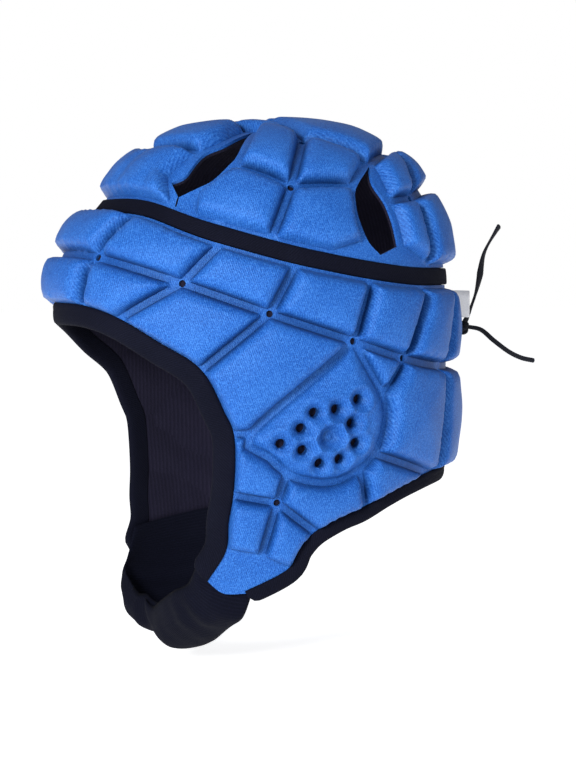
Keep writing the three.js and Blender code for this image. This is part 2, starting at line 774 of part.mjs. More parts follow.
function panelShell(panel) {
  const skin = new Skin();
  for (const cell of panel.cells) {
    if (cell.flat) smoothFace(panel, skin, cell, 0, false);
    else paddedFace(panel, skin, cell);
    smoothFace(panel, skin, cell, -PANEL_WALL, true);
  }
  edgeWalls(skin, panel.cells.map((cell) => cell.outline), 0, -PANEL_WALL);
  return withoutScraps(skin.geometry());
}

// The lining backs the panel, and reaches under the band to the middle of it.
function panelLining(panel, extraStrips) {
  const skin = new Skin();
  const outlines = panel.cells.map((cell) => cell.outline);
  for (const cell of panel.cells) {
    smoothFace(panel, skin, cell, LINING_TOP, false);
    smoothFace(panel, skin, cell, -STACK, true);
  }
  for (const strip of [...bandStrips(panel), ...extraStrips]) {
    const points = (height) => strip.map((p) => raised(p, height));
    skin.quad(...points(LINING_TOP));
    skin.quad(...points(-STACK).reverse());
    outlines.push(strip);
  }
  edgeWalls(skin, outlines, LINING_TOP, -STACK);
  return withoutScraps(skin.geometry());
}

// Four-cornered strips from the panel's edge at the band to the middle of the band.
function bandStrips(panel) {
  const strips = [];
  const inBand = (place) => bandPlace(place.angle, panel.bandSide * SEAT_GAP);
  for (const cell of panel.cells) {
    cell.outline.forEach((place, i) => {
      const next = cell.outline[(i + 1) % cell.outline.length];
      const edge = bandPlace(place.angle, (panel.bandSide * BAND_WIDTH) / 2);
      const nextEdge = bandPlace(next.angle, (panel.bandSide * BAND_WIDTH) / 2);
      const onBand = Math.abs(edge.drop - place.drop) < 0.01 && Math.abs(nextEdge.drop - next.drop) < 0.01;
      if (onBand) strips.push([next, place, inBand(place), inBand(next)]);
    });
  }
  return strips;
}

// The lining across the laced gap, in strips from side to side.
function gapStrips(panel) {
  const column = (side) => {
    const names = ["gap_head", "gap_hole", "gap_foot"].map((n) => side + n);
    const head = panel.places.get(names[0]);
    const down = names.slice(1).flatMap((name, i) => panel.edgePlaces(names[i], name));
    return [bandPlace(head.angle, SEAT_GAP), ...down, panel.places.get(names[2])];
  };
  const left = column("");
  const right = column("right_");
  const strips = [];
  for (let i = 0; i + 1 < left.length; i++) {
    const centres = (angle) => [{ angle, drop: left[i].drop }, { angle, drop: left[i + 1].drop }];
    const [above, below] = centres(180);
    strips.push([left[i + 1], below, above, left[i]]);
    const [rightAbove, rightBelow] = centres(-180);
    strips.push([rightBelow, right[i + 1], right[i], rightAbove]);
  }
  return strips;
}

// A sheet between two faces, given as rows of points, each row from one edge of the sheet to the other.
function sheetBody(upper, lower, closed) {
  const skin = new Skin();
  const edge = upper[0].length - 1;
  const end = upper.length - 1;
  upper.forEach((row, i) => {
    if (!closed && i === end) return;
    const j = (i + 1) % upper.length;
    for (let k = 0; k < edge; k++) {
      skin.quad(row[k], row[k + 1], upper[j][k + 1], upper[j][k]);
      skin.quad(lower[i][k], lower[j][k], lower[j][k + 1], lower[i][k + 1]);
    }
    skin.quad(row[0], upper[j][0], lower[j][0], lower[i][0]);
    skin.quad(upper[j][edge], row[edge], lower[i][edge], lower[j][edge]);
  });
  for (let k = 0; k < edge && !closed; k++) {
    skin.quad(upper[0][k + 1], upper[0][k], lower[0][k], lower[0][k + 1]);
    skin.quad(upper[end][k], upper[end][k + 1], lower[end][k + 1], lower[end][k]);
  }
  return skin.geometry();
}

// A flat tape that follows the cloth. A station holds the places of its two edges, and has its own bottom.
function tape(stations, bottoms, top, closed) {
  const upper = stations.map((station) => station.map((place) => raised(place, top)));
  const lower = stations.map((station, i) => station.map((place) => raised(place, bottoms[i])));
  return sheetBody(upper, lower, closed);
}

// Stations beside a run of places, from one distance out from it to another.
function stationsBeside(run, near, far) {
  const points = run.map(clothPoint);
  const last = points.length - 1;
  return points.map((p, i) => {
    const normal = clothNormal(run[i]);
    const outward = (k) => points[k + 1].clone().sub(points[k]).cross(normal).normalize();
    const lead = outward(Math.max(i - 1, 0));
    const trail = outward(Math.min(i, last - 1));
    const out = lead.add(trail).normalize();
    const mitre = 1 / Math.max(out.dot(trail), 0.5);
    return [near, far].map((d) => ontoCloth(p.clone().addScaledVector(out, d * mitre), normal));
  });
}

// The places along a run of crossings, from the first to the last.
function runOf(panel, names) {
  const places = names.slice(1).flatMap((name, i) => panel.edgePlaces(names[i], name));
  return [...places, panel.places.get(names.at(-1))];
}

// One half of the chin strap: sewn inside its flap, it bends under the chin and runs past the middle.
function strapHalf(side, lapDepth) {
  const foot = STRAP_FOOT.map(([rearAngle, rearShare, frontAngle, frontShare]) => {
    const at = (f) => ({
      angle: rearAngle + (frontAngle - rearAngle) * f,
      drop: (rearShare + (frontShare - rearShare) * f) * CAP_DROP,
    });
    return [0, 0.5, 1].map((f) => raised(at(f), -(STACK + STRAP_SEAT)));
  });
  const free = STRAP.map(([rearX, rearY, rearZ, frontX, frontY, frontZ]) => {
    const at = (x, y, z) => vec(x * HALF_BREADTH, y * CHIN_FORWARD, STACK - CAP_DROP - z * CHIN_DEPTH);
    const [rear, front] = [at(rearX, rearY, rearZ), at(frontX, frontY, frontZ)];
    const middle = rear.clone().lerp(front, 0.5);
    middle.z -= STRAP_CUP;
    return [rear, middle, front];
  });
  const half = [...foot, ...free];
  const flipped = half.slice(0, -1).map((row) => row.map((p) => vec(-p.x, p.y, p.z)));
  const rows = [...half, ...flipped.reverse()];
  const lines = [0, 1, 2].map((k) => new THREE.CatmullRomCurve3(rows.map((row) => row[k])));
  const middleAt = (half.length - 1) / (rows.length - 1);
  const length = lines[1].getLength();
  const lapEnd = middleAt + STRAP_LAP / length;
  const count = Math.ceil((length * lapEnd) / STRAP_STEP);
  const faces = Array.from({ length: count + 1 }, (_, i) => {
    const t = (lapEnd * i) / count;
    const across = lines[2].getPoint(t).sub(lines[0].getPoint(t));
    const normal = across.cross(lines[1].getTangent(t)).normalize();
    const sunk = lapDepth * THREE.MathUtils.smoothstep(t, middleAt / 3, middleAt * 0.75);
    const row = (depth) => lines.map((line) => line.getPoint(t).addScaledVector(normal, -depth));
    return { upper: row(sunk), lower: row(sunk + STRAP_PLY) };
  });
  const placed = (row) => (side > 0 ? row : row.map((p) => vec(-p.x, p.y, p.z)).reverse());
  return sheetBody(faces.map((f) => placed(f.upper)), faces.map((f) => placed(f.lower)), false);
}

// A round cord along points.
function cordAlong(points) {
  const path = new THREE.CatmullRomCurve3(points);
  const ring = Array.from({ length: CORD_SIDES }, (_, i) => {
    const turn = (2 * Math.PI * i) / CORD_SIDES;
    return new THREE.Vector2(Math.cos(turn), Math.sin(turn)).multiplyScalar(LACE_WIDTH / 2);
  });
  const steps = Math.ceil(path.getLength() / (CORD_STEP * LACE_WIDTH));
  const options = { steps, extrudePath: path, bevelEnabled: false };
  return bare(new THREE.ExtrudeGeometry(new THREE.Shape(ring), options));
}

// A geometry with its positions only.
function bare(geometry) {
  geometry.deleteAttribute("normal");
  geometry.deleteAttribute("uv");
  return mergeVertices(geometry, 1e-3);
}

const knotMiddle = vec(0, KNOT_REACH, STACK - KNOT_DROP);

// A point over the laced gap.
function overGap(across, drop, height) {
  const angle = 180 - Math.asin(across / sectionAt(drop).half) / DEG;
  return raised({ angle, drop }, height);
}

function laceOverGap() {
  const rest = BINDING_PROUD + 2 * SEAT_GAP + LACE_WIDTH / 2;
  const turns = LACING.map(([across, down, lift]) =>
    overGap(across * LACE_REACH, LACE_DROP + down * LACE_PITCH, rest + lift * LACE_WIDTH),
  );
  const underKnot = (side) =>
    knotMiddle.clone().add(vec(side * 0.21 * KNOT_BREADTH, -0.36 * KNOT_DEPTH, -0.36 * KNOT_HEIGHT));
  return cordAlong([underKnot(-1), ...turns, underKnot(1)]);
}

const laceEnd = (table, side) =>
  cordAlong(table.map(([back, up]) => knotMiddle.clone().add(vec(side, back, up))));

function knot() {
  const made = new THREE.SphereGeometry(0.5, 10, 7);
  made.scale(KNOT_BREADTH, KNOT_DEPTH, KNOT_HEIGHT);
  made.translate(...knotMiddle.toArray());
  return bare(made);
}

// The label stands out of the gap on its edge, beside the lace.
function labelTab() {
  const foot = clothPoint({ angle: 180, drop: LABEL_DROP + LABEL_HEIGHT / 2 }).y + LINING_TOP + 2 * SEAT_GAP;
  const made = new THREE.BoxGeometry(LABEL_THICKNESS, LABEL_REACH - foot, LABEL_HEIGHT);
  made.translate(LABEL_THICKNESS, (LABEL_REACH + foot) / 2, STACK - LABEL_DROP - LABEL_HEIGHT / 2);
  return bare(made);
}

const crownPanel = new Panel(CROWN_CROSSINGS, CROWN_CELLS, -1);
const sidePanel = new Panel(SIDE_CROSSINGS, SIDE_CELLS, 1);

const holePlaces = (panel, names) => bothSides(names.map((name) => panel.places.get(name)));
const earHolePlaces = bothSides(EAR_HOLES.map(([angle, share]) => ({ angle, drop: share * CAP_DROP })));

const NAVY = { color: 0x1b1e2a, roughness: 0.9, metalness: 0 };
const BLUE = { color: 0x2f6fd6, roughness: 0.55, metalness: 0 };
const LINING = { color: 0x1a182c, roughness: 0.95, metalness: 0 };
const WHITE = { color: 0xe8e8ea, roughness: 0.7, metalness: 0 };

const cap = new THREE.Group();

function addPiece(name, geometry, finish) {
  const mesh = new THREE.Mesh(geometry, new THREE.MeshStandardMaterial(finish));
  mesh.name = name;
  cap.add(mesh);
}

function crownGeometry(shell) {
  return punched(shell, holePlaces(crownPanel, CROWN_HOLES), VENT_HOLE);
}

function sideGeometry(shell) {
  return punched(punched(shell, holePlaces(sidePanel, SIDE_HOLES), VENT_HOLE), earHolePlaces, EAR_HOLE);
}

const FACE_EDGE = [
  "edge_brow", "edge_brow_side", "edge_temple", "edge_temple_side", "edge_cheek_top", "edge_cheek",
  "edge_jaw_top", "edge_jaw", "edge_flap_top", "edge_flap", "edge_flap_low", "edge_tip",
];
const NECK_EDGE = [
  "neck_tip", "neck_flap", "neck_flap_top", "neck_jaw", "neck_ear", "neck_ear_back", "neck_side",
  "neck_rear_side", "neck_rear", "neck_nape", "gap_foot", "gap_hole", "gap_head",
];
const onRight = (names) => names.map((name) => "right_" + name).reverse();

const bandEdge = BAND_WIDTH / 2 - SEAT_GAP;
const bandBottoms = Array(BAND_STATIONS).fill(SEAT_GAP - PANEL_WALL);
const bandStations = Array.from({ length: BAND_STATIONS }, (_, i) => {
  const angle = (360 * i) / BAND_STATIONS - 180;
  return [bandPlace(angle, -bandEdge), bandPlace(angle, bandEdge)];
});

// A binding covers the cut edge of panel and lining; at the laced gap it lies on the lining.
function bindingAlong(names, width) {
  const run = runOf(sidePanel, names);
  const bottoms = run.map((place) => (Math.abs(place.angle) > GAP_ANGLE - 1 ? -PANEL_WALL : -STACK));
  return tape(stationsBeside(run, SEAT_GAP, width), bottoms, BINDING_PROUD, false);
}

const wholeFaceEdge = [...onRight(FACE_EDGE).slice(0, -1), ...FACE_EDGE];
const sideLining = panelLining(sidePanel, gapStrips(sidePanel));

addPiece("crown_panel", crownGeometry(panelShell(crownPanel)), BLUE);
addPiece("side_panel", sideGeometry(panelShell(sidePanel)), BLUE);
addPiece("crown_lining", panelLining(crownPanel, []), LINING);
addPiece("side_lining", punched(sideLining, earHolePlaces, EAR_HOLE), LINING);
addPiece("crown_band", tape(bandStations, bandBottoms, BAND_PROUD, true), NAVY);
addPiece("face_binding", bindingAlong(wholeFaceEdge, FACE_BINDING_WIDTH), NAVY);
addPiece("neck_binding_left", bindingAlong(NECK_EDGE, NECK_BINDING_WIDTH), NAVY);
addPiece("neck_binding_right", bindingAlong(onRight(NECK_EDGE), NECK_BINDING_WIDTH), NAVY);
addPiece("chin_strap_left", strapHalf(1, 0), NAVY);
addPiece("chin_strap_right", strapHalf(-1, STRAP_PLY + 2 * SEAT_GAP), NAVY);
addPiece("rear_lace", laceOverGap(), NAVY);
addPiece("lace_knot", knot(), NAVY);
addPiece("lace_end_up", laceEnd(LACE_END_UP, -LACE_ASIDE), NAVY);
addPiece("lace_end_down", laceEnd(LACE_END_DOWN, 0), NAVY);
addPiece("rear_label", labelTab(), WHITE);

export default cap;
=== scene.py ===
"""Looks of a padded rugby scrum cap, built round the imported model.

Lengths are in millimetres until a mesh is made, then in metres. +Z is up, the wearer looks along -Y and the
wearer's left is +X. The origin is the top of the hollow inside the crown.
"""

import math

import bmesh
import bpy
import numpy as np
from mathutils import Matrix, Vector, noise
from mathutils.geometry import delaunay_2d_cdt


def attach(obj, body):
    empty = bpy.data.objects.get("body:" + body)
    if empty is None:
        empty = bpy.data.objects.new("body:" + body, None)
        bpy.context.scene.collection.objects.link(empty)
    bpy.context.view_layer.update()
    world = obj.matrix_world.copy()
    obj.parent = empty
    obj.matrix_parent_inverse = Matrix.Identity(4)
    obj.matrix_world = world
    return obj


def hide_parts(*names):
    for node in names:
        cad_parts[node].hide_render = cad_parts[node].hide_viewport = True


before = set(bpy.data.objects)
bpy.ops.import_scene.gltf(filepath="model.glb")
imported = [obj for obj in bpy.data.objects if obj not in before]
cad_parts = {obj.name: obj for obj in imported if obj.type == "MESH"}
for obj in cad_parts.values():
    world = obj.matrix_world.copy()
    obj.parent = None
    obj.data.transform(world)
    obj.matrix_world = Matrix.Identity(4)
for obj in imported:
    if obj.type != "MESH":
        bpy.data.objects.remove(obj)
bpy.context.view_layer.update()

# Sizes of the head form and the cloth, as in the model.
CAP_DROP = 230.0
HALF_BREADTH = 82.5
BROW_REACH = 107.0
NAPE_REACH = 96.5
PANEL_WALL = 1.5
LINING_WALL = 1.2
SEAT_GAP = 0.3
BAND_WIDTH = 9.0
GAP_ANGLE = 173.0
STACK = PANEL_WALL + SEAT_GAP + LINING_WALL
LINING_TOP = -(PANEL_WALL + SEAT_GAP)

# The pads.
PAD_RISE = 7.4
EAR_RISE = 5.2
PAD_FOOT = 1.6
VENT_FLANGE = 4.2
PAD_CORNER = 1.6
BEVEL_SLOPE = 2.8
PAD_STEP = 1.7
EDGE_STEP = 2.0
CROSSING_HOLE = 3.4
EAR_HOLE = 4.8
CREASE_ANGLE = 62
PAD_SWELL = 1.5
PAD_SOFTNESS = 0.75
PAD_UNEVEN = 0.5
EAR_SHOULDER = 9.5
BROW_CREASES = (-30, -10.5, 10.5, 30)
BROW_CREASE_DEPTH = 1.5
BROW_CREASE_WIDTH = 3.4
LINING_PUFF = 0.9

# Marks on an ear dome: their rise, the radius they lie at, and their width.
HOLE_RIM = (1.2, 6.4, 1.8)
HOLE_DENT = (4.3, 0, 4.3)
DIMPLE_RING = (2, 7.4, 1.9)
DIMPLE_DENT = (4.4, 0, 4.9)
DIMPLE_BOSS = (2.4, 0, 2)

# Tapes, strap, lace.
FACE_TAPE = 9.5
NECK_TAPE = 6.5
STRAP_PLY = 2.4
STRAP_LAP = 13.0
STRAP_SEAT = 0.7
FOLD_RISE = 1.1
SMALL_FOLD_RISE = 0.5
PUCKER_RISE = 0.7
PUCKER_AT = 46
PUCKER_REACH = 22
HEM_RISE = 0.55
HEM_AT = 0.88
HEM_HALF = 0.11
HEM_STITCH = (0.35, 0.74, 0.02)
LACE_WIDTH = 2.6
LACE_REACH = 7.4
LACE_DROP = 113.0
LACE_PITCH = 14.0
LACE_ASIDE = 2.0
LACE_LIFT = 0.9
KNOT = np.array([0.0, 108.5, STACK - 102.5])
TIED = KNOT + [0, 4.6, 0.6]
KNOT_FOOT = (2.1, -2.6, -3.1)
KNOT_SPREAD = (1.15, 2.1, 0.95)
UNTWISTED = [(0, 0), (1, 0)]
BRAID = (2.7, 2.3)
KNOT_BRAID = (2.5, 2.3)
END_BRAID = (2.5, 2.2)
END_RIBBON = (4.6, 1.5)
PIPING = (0.8, 0.7)
LABEL_DROP = 83.0
LABEL_HEIGHT = 14.3
LABEL_TIP = 117.0
LABEL_ASIDE = 1.2

# Width and length in metres of each cloth piece as cut.
BAND_CUT = (0.01, 0.56)
FACE_CUT = (0.016, 0.37)
NECK_CUT = (0.0135, 0.246)
NEAR_STRAP_CUT = (0.04, 0.09)
FAR_STRAP_CUT = (0.045, 0.105)

HEAD_MIDDLE = (0, 0, -0.11)
FLOOR_HEIGHT = -0.268
FLOOR_HALF = 8
FLOOR_GLOW = 0.78

FORM = np.array([
    [0, 0, 0, 0],
    [0.015, 0.34, 0.26, 0.33],
    [0.04, 0.56, 0.45, 0.56],
    [0.076, 0.71, 0.595, 0.735],
    [0.124, 0.82, 0.7, 0.835],
    [0.176, 0.9, 0.785, 0.905],
    [0.233, 0.955, 0.905, 0.95],
    [0.307, 0.99, 0.985, 0.985],
    [0.428, 1, 1, 1],
    [0.559, 0.995, 0.985, 1],
    [0.689, 0.97, 0.945, 0.995],
    [0.82, 0.92, 0.905, 0.97],
    [0.95, 0.86, 0.86, 0.915],
    [1.08, 0.8, 0.805, 0.83],
    [1.21, 0.73, 0.75, 0.75],
])

BAND_LINE = np.array([
    [0, 0.172], [30, 0.18], [60, 0.233], [90, 0.289], [120, 0.32], [150, 0.324], [180, 0.324],
])


def numbered(name, places):
    return {f"{name}_{k}": place for k, place in enumerate(places, 1)}


# A crossing is an angle from the brow and a share of the drop, with no share where it lies on the band.
CROWN_CROSSINGS = {
    "crown": (0, 0), "brow_foot": (0, None), "brow_side": (21, None), "seam_foot": (42, None),
    "temple_seam": (50, None), "temple_foot": (59, None), "side_foot": (76, None), "ear_foot": (94, None),
    "bridge_foot": (111, None), "rear_foot": (134, None), "nape_side": (157, None),
    "nape_foot": (180, None),
    "brow_row": (0, 0.063), "brow_top": (0, 0.011), "nape_top": (180, 0.063), "nape_row": (180, 0.145),
    "side_top": (95, 0.037), "side_row": (82, 0.137), "rear_top": (156, 0.059), "rear_row": (135, 0.155),
    "front_vent_tip": (58, 0.011), "front_vent_foot": (41, 0.157), "front_vent_corner": (35, 0.125),
    "rear_vent_tip": (120, 0.087), "rear_vent_foot": (111, 0.278), "rear_vent_corner": (119.5, 0.258),
    **numbered("front_vent", [
        (59.5, 0.061), (57, 0.09), (52.5, 0.121), (47, 0.139), (40, 0.11), (42, 0.062), (49, 0.04),
    ]),
    **numbered("rear_vent", [
        (107.5, 0.135), (105, 0.172), (105, 0.207), (107, 0.25), (119.3, 0.207), (118.5, 0.165),
        (116.5, 0.125),
    ]),
}

# A cell is a kind and the crossings round it, then the crossings of its pad where they differ.
CROWN_CELLS = [
    ("brow",
     "brow_row front_vent_6 front_vent_5 front_vent_corner front_vent_foot seam_foot brow_side brow_foot",
     "brow_row front_vent_6 front_vent_corner seam_foot brow_side brow_foot"),
    ("middle", "brow_top front_vent_tip front_vent_7 front_vent_6 brow_row"),
    ("pad", "brow_top crown side_top front_vent_tip"),
    ("pad", "crown nape_top rear_top rear_vent_tip side_top"),
    ("pad", "front_vent_tip side_top side_row front_vent_2 front_vent_1"),
    ("pad", "front_vent_2 side_row side_foot temple_foot temple_seam seam_foot front_vent_foot front_vent_4"
     " front_vent_3", "front_vent_2 side_row side_foot temple_foot temple_seam front_vent_4"),
    ("pad", "side_top rear_vent_tip rear_vent_1 side_row"),
    ("pad", "side_row rear_vent_1 rear_vent_2 rear_vent_3 rear_vent_4 rear_vent_foot bridge_foot ear_foot"
     " side_foot", "side_row rear_vent_1 rear_vent_3 rear_vent_4 ear_foot side_foot"),
    ("pad", "rear_vent_tip rear_top rear_row rear_vent_6 rear_vent_7",
     "rear_vent_tip rear_top rear_row rear_vent_6"),
    ("pad", "rear_vent_6 rear_row rear_foot rear_vent_corner rear_vent_5",
     "rear_vent_6 rear_row rear_foot rear_vent_corner"),
    ("flat", "rear_foot bridge_foot rear_vent_foot rear_vent_corner"),
    ("pad", "rear_top nape_top nape_row rear_row"),
    ("pad", "rear_row nape_row nape_foot nape_side rear_foot"),
]

SIDE_CROSSINGS = {
    "brow_head": (0, None), "brow_cut": (30, None), "temple_cut": (62, None), "side_cut": (83, None),
    "ear_cut": (106, None), "rear_cut": (130, None), "nape_cut": (152, None), "gap_head": (GAP_ANGLE, None),
    "brow_channel": (0, 0.276), "brow_hole": (22, 0.283), "temple_hole": (52.5, 0.337),
    "side_hole": (76, 0.4), "ear_hole": (100, 0.459), "rear_hole": (119, 0.498), "nape_hole": (141, 0.52),
    "gap_hole": (GAP_ANGLE, 0.52), "edge_brow": (0, 0.387), "edge_brow_side": (18, 0.391),
    "edge_temple": (32, 0.415), "edge_temple_side": (45, 0.463), "edge_cheek_top": (57, 0.52),
    "edge_cheek": (63, 0.61), "edge_jaw_top": (65, 0.65), "edge_jaw": (65.2, 0.707),
    "edge_flap_top": (64.5, 0.778), "edge_flap": (63, 0.837), "edge_flap_low": (62, 0.898),
    "edge_tip": (56, 0.961), "neck_tip": (69, 0.992), "neck_flap": (82.5, 0.945),
    "neck_flap_top": (86, 0.9), "neck_jaw": (90.5, 0.866), "neck_ear": (98.5, 0.837),
    "neck_ear_back": (106, 0.82), "neck_side": (115, 0.793), "neck_rear_side": (125, 0.772),
    "neck_rear": (138, 0.757), "neck_nape": (155, 0.75), "gap_foot": (GAP_ANGLE, 0.746),
    "jaw_hole": (78, 0.797), "flap_seam": (73.5, 0.915), "flap_end": (61.5, 0.991),
    **numbered("ear_ring", [
        (105, 0.515), (110.5, 0.573), (112, 0.62), (110, 0.68), (108.5, 0.7), (103.5, 0.73), (94.5, 0.757),
        (86, 0.751), (80.5, 0.735), (75.5, 0.7), (70.5, 0.648),
    ]),
}

EAR_RING = " ".join(f"ear_ring_{k}" for k in range(1, 12))

SIDE_CELLS = [
    ("middle", "brow_head brow_cut brow_hole brow_channel"),
    ("middle", "brow_channel brow_hole edge_brow_side edge_brow"),
    ("pad", "brow_cut temple_cut temple_hole brow_hole"),
    ("pad", "temple_cut side_cut side_hole temple_hole"),
    ("pad", "side_cut ear_cut ear_hole side_hole"),
    ("pad", "ear_cut rear_cut rear_hole ear_hole"),
    ("pad", "rear_cut nape_cut nape_hole rear_hole"),
    ("pad", "nape_cut gap_head gap_hole nape_hole"),
    ("pad", "brow_hole temple_hole edge_temple edge_brow_side"),
    ("pad", "temple_hole side_hole edge_cheek_top edge_temple_side edge_temple"),
    ("pad", "side_hole ear_hole ear_ring_11 edge_jaw_top edge_cheek edge_cheek_top"),
    ("ear", "ear_hole " + EAR_RING),
    ("pad", "ear_hole rear_hole ear_ring_2 ear_ring_1"),
    ("pad", "rear_hole nape_hole neck_rear ear_ring_5 ear_ring_4 ear_ring_3 ear_ring_2"),
    ("pad", "nape_hole gap_hole gap_foot neck_nape neck_rear"),
    ("pad", "ear_ring_5 neck_rear neck_rear_side neck_side neck_ear_back ear_ring_6"),
    ("pad", "edge_jaw_top ear_ring_11 ear_ring_10 ear_ring_9 jaw_hole edge_flap_top edge_jaw"),
    ("pad", "ear_ring_9 ear_ring_8 ear_ring_7 ear_ring_6 neck_ear_back neck_ear neck_jaw jaw_hole"),
    ("pad", "edge_flap_top jaw_hole flap_seam edge_flap_low edge_flap"),
    ("pad", "jaw_hole neck_jaw neck_flap_top neck_flap flap_seam"),
    ("flat", "edge_flap_low flap_seam neck_flap neck_tip flap_end edge_tip"),
]

LEFT_EDGE = (
    "edge_brow_side edge_temple edge_temple_side edge_cheek_top edge_cheek edge_jaw_top edge_jaw"
    " edge_flap_top edge_flap edge_flap_low edge_tip"
)
RIGHT_EDGE = " ".join("right_" + n for n in LEFT_EDGE.split()[::-1])
FACE_EDGE = f"{RIGHT_EDGE} edge_brow {LEFT_EDGE}"
NECK_EDGE = (
    "neck_tip neck_flap neck_flap_top neck_jaw neck_ear neck_ear_back neck_side neck_rear_side neck_rear"
    " neck_nape gap_foot"
)
# Rows of crossings that one smooth line runs through.
SMOOTH_RUNS = [
    FACE_EDGE,
    NECK_EDGE,
    "neck_tip flap_end edge_tip",
    f"ear_hole {EAR_RING} ear_hole",
    "brow_hole temple_hole side_hole ear_hole rear_hole nape_hole gap_hole",
]
for vent in ("front_vent", "rear_vent"):
    SMOOTH_RUNS += [
        " ".join(f"{vent}_{spot}" for spot in ("tip", 1, 2, 3, 4, "foot")),
        " ".join(f"{vent}_{spot}" for spot in ("corner", 5, 6, 7, "tip")),
    ]

CROWN_HOLES = ["side_top", "side_row", "rear_top", "rear_row"]
SIDE_HOLES = ["brow_hole", "temple_hole", "side_hole", "ear_hole", "rear_hole", "jaw_hole"]
EAR_HOLES = np.array([
    [101, 0.58], [94, 0.6], [87.5, 0.606], [84, 0.638], [78.5, 0.67],
    [84.5, 0.684], [89.5, 0.713], [95.5, 0.705], [100.5, 0.672], [99, 0.63],
])
EAR_DIMPLE = (92, 0.657)

FACE_LINE = FACE_EDGE.split()
NECK_LINE = NECK_EDGE.split() + ["gap_hole", "gap_head"]

# Each half of the strap: where it is sewn in, as angle and share of the drop at its rear and front edges,
# and then rows of its rear edge, middle and front edge down to the lap.
STRAP_NEAR = (
    [(76, 0.9, 55, 0.9), (73, 0.955, 52.5, 0.94)],
    [
        ((57, -31.2, -238), (53, -47.5, -233.5), (45, -56.2, -222.2)),
        ((42, -33.2, -245.8), (39.5, -51, -241.5), (34, -59.8, -227.2)),
        ((20, -36, -256.5), (18.5, -53, -252), (15.7, -61.4, -235)),
    ],
)
STRAP_FAR = (
    [(90, 0.87, 55, 0.905), (88, 0.93, 51, 0.95)],
    [
        ((60, -14, -229), (52, -52, -232), (44, -61, -225)),
        ((45, -25, -242), (37, -59.5, -245), (32, -61.3, -231.4)),
        ((20, -36, -256.5), (18.5, -57.6, -254.6), (15.7, -61.4, -236.5)),
    ],
)
STRAP_MIDDLE = ((0, -39.6, -260.6), (0, -54, -257.3), (0, -60.4, -239.6))

# The lace over the gap, in shares of its reach and pitch and in lace widths of lift.
LACING = [
    (-1, 0, 0), (0, 0.5, 0), (1, 1, 0), (0, 1.5, 0), (-1, 2, 0), (-0.8, 2.3, 0), (0.8, 2.3, 0), (1, 2, 0),
    (0, 1.5, 1.15), (-1, 1, 0), (0, 0.5, 1.15), (1, 0, 0),
]
# The ends' ways back and up from the knot.
LACE_END_UP = [(6.8, 2.4), (8.7, 6), (13.3, 17.5), (15.6, 26), (18.5, 39.9), (25, 51), (27.6, 54.8)]
LACE_END_DOWN = [(7.6, 1), (15.7, -0.7), (23.4, -6.5), (32.8, -12.9), (40, -16.1), (47.5, -17.7)]


def place_camera():
    """Looks at the wearer's left side, a little from the front, as the photograph does."""
    azimuth = math.radians(69)
    elevation = math.radians(3)
    distance = 1200.0
    focal = 2340.0
    left_of_middle = -26
    above_middle = 141
    level = math.cos(elevation)
    back = Vector((math.sin(azimuth) * level, -math.cos(azimuth) * level, math.sin(elevation)))
    right = Vector((math.cos(azimuth), math.sin(azimuth), 0))
    up = back.cross(right)
    aim = Vector((0, 0, -54.5))
    across = left_of_middle / focal * distance
    down = above_middle / focal * distance
    data = bpy.data.cameras.new("camera")
    camera = new_object("camera", data)
    camera.location = (aim + back * distance - right * across - up * down) * 0.001
    camera.rotation_mode = "QUATERNION"
    camera.rotation_quaternion = Matrix((right, up, back)).transposed().to_quaternion()
    data.sensor_width = 36
    data.lens = focal * 36 / 768
    data.clip_start = 0.05
    data.clip_end = 60
    bpy.context.scene.camera = camera


def through(table, rows):
    """A table's values at fractional rows, on a smooth curve that leaves its ends straight."""
    table = np.asarray(table, float)
    last = len(table) - 1
    rows = np.clip(np.asarray(rows, float), 0, last)
    i = np.minimum(rows.astype(int), last - 1)
    f = (rows - i)[:, None]
    ahead = 2 * table[last] - table[last - 1]
    before = np.where((i > 0)[:, None], table[np.maximum(i - 1, 0)], 2 * table[0] - table[1])
    after = np.where((i + 2 <= last)[:, None], table[np.minimum(i + 2, last)], ahead)
    a, b = table[i], table[i + 1]
    bend = 2 * before - 5 * a + 4 * b - after + f * (3 * (a - b) + after - before)
    return a + 0.5 * f * (b - before + f * bend)


def steps_of(line):
    return np.linalg.norm(np.diff(line, axis=0), axis=1)


def run_of(line):
    """How far along a line each of its points lies."""
    return np.concatenate([[0], np.cumsum(steps_of(line))])


def unit(rows):
    return rows / np.linalg.norm(rows, axis=1, keepdims=True)


def form_table():
    """The head form's sections, finely stepped: drop, half width, front reach, back reach."""
    mirrored = np.vstack([FORM[1] * [1, -1, -1, -1], FORM])
    rows = np.linspace(1, len(mirrored) - 1, 2801)
    fine = through(mirrored, rows)
    fine[:, 1:] = np.maximum(fine[:, 1:], 0)
    return fine * [CAP_DROP, HALF_BREADTH, BROW_REACH, NAPE_REACH]


FINE_FORM = form_table()
BAND_ROWS = np.vstack([BAND_LINE[1] * [-1, 1], BAND_LINE, [210, BAND_LINE[-2][1]]])
FINE_BAND = through(BAND_ROWS, np.linspace(1, len(BAND_LINE), 601))


def section(drop):
    return [np.interp(drop, FINE_FORM[:, 0], FINE_FORM[:, k]) for k in (1, 2, 3)]


def cloth_point(places):
    """Points of the cloth at places, each an angle from the brow in degrees and a drop."""
    angle, drop = np.radians(places[:, 0]), places[:, 1]
    half, front, back = section(drop)
    along = np.cos(angle)
    return np.column_stack([half * np.sin(angle), -np.where(along > 0, front, back) * along, STACK - drop])


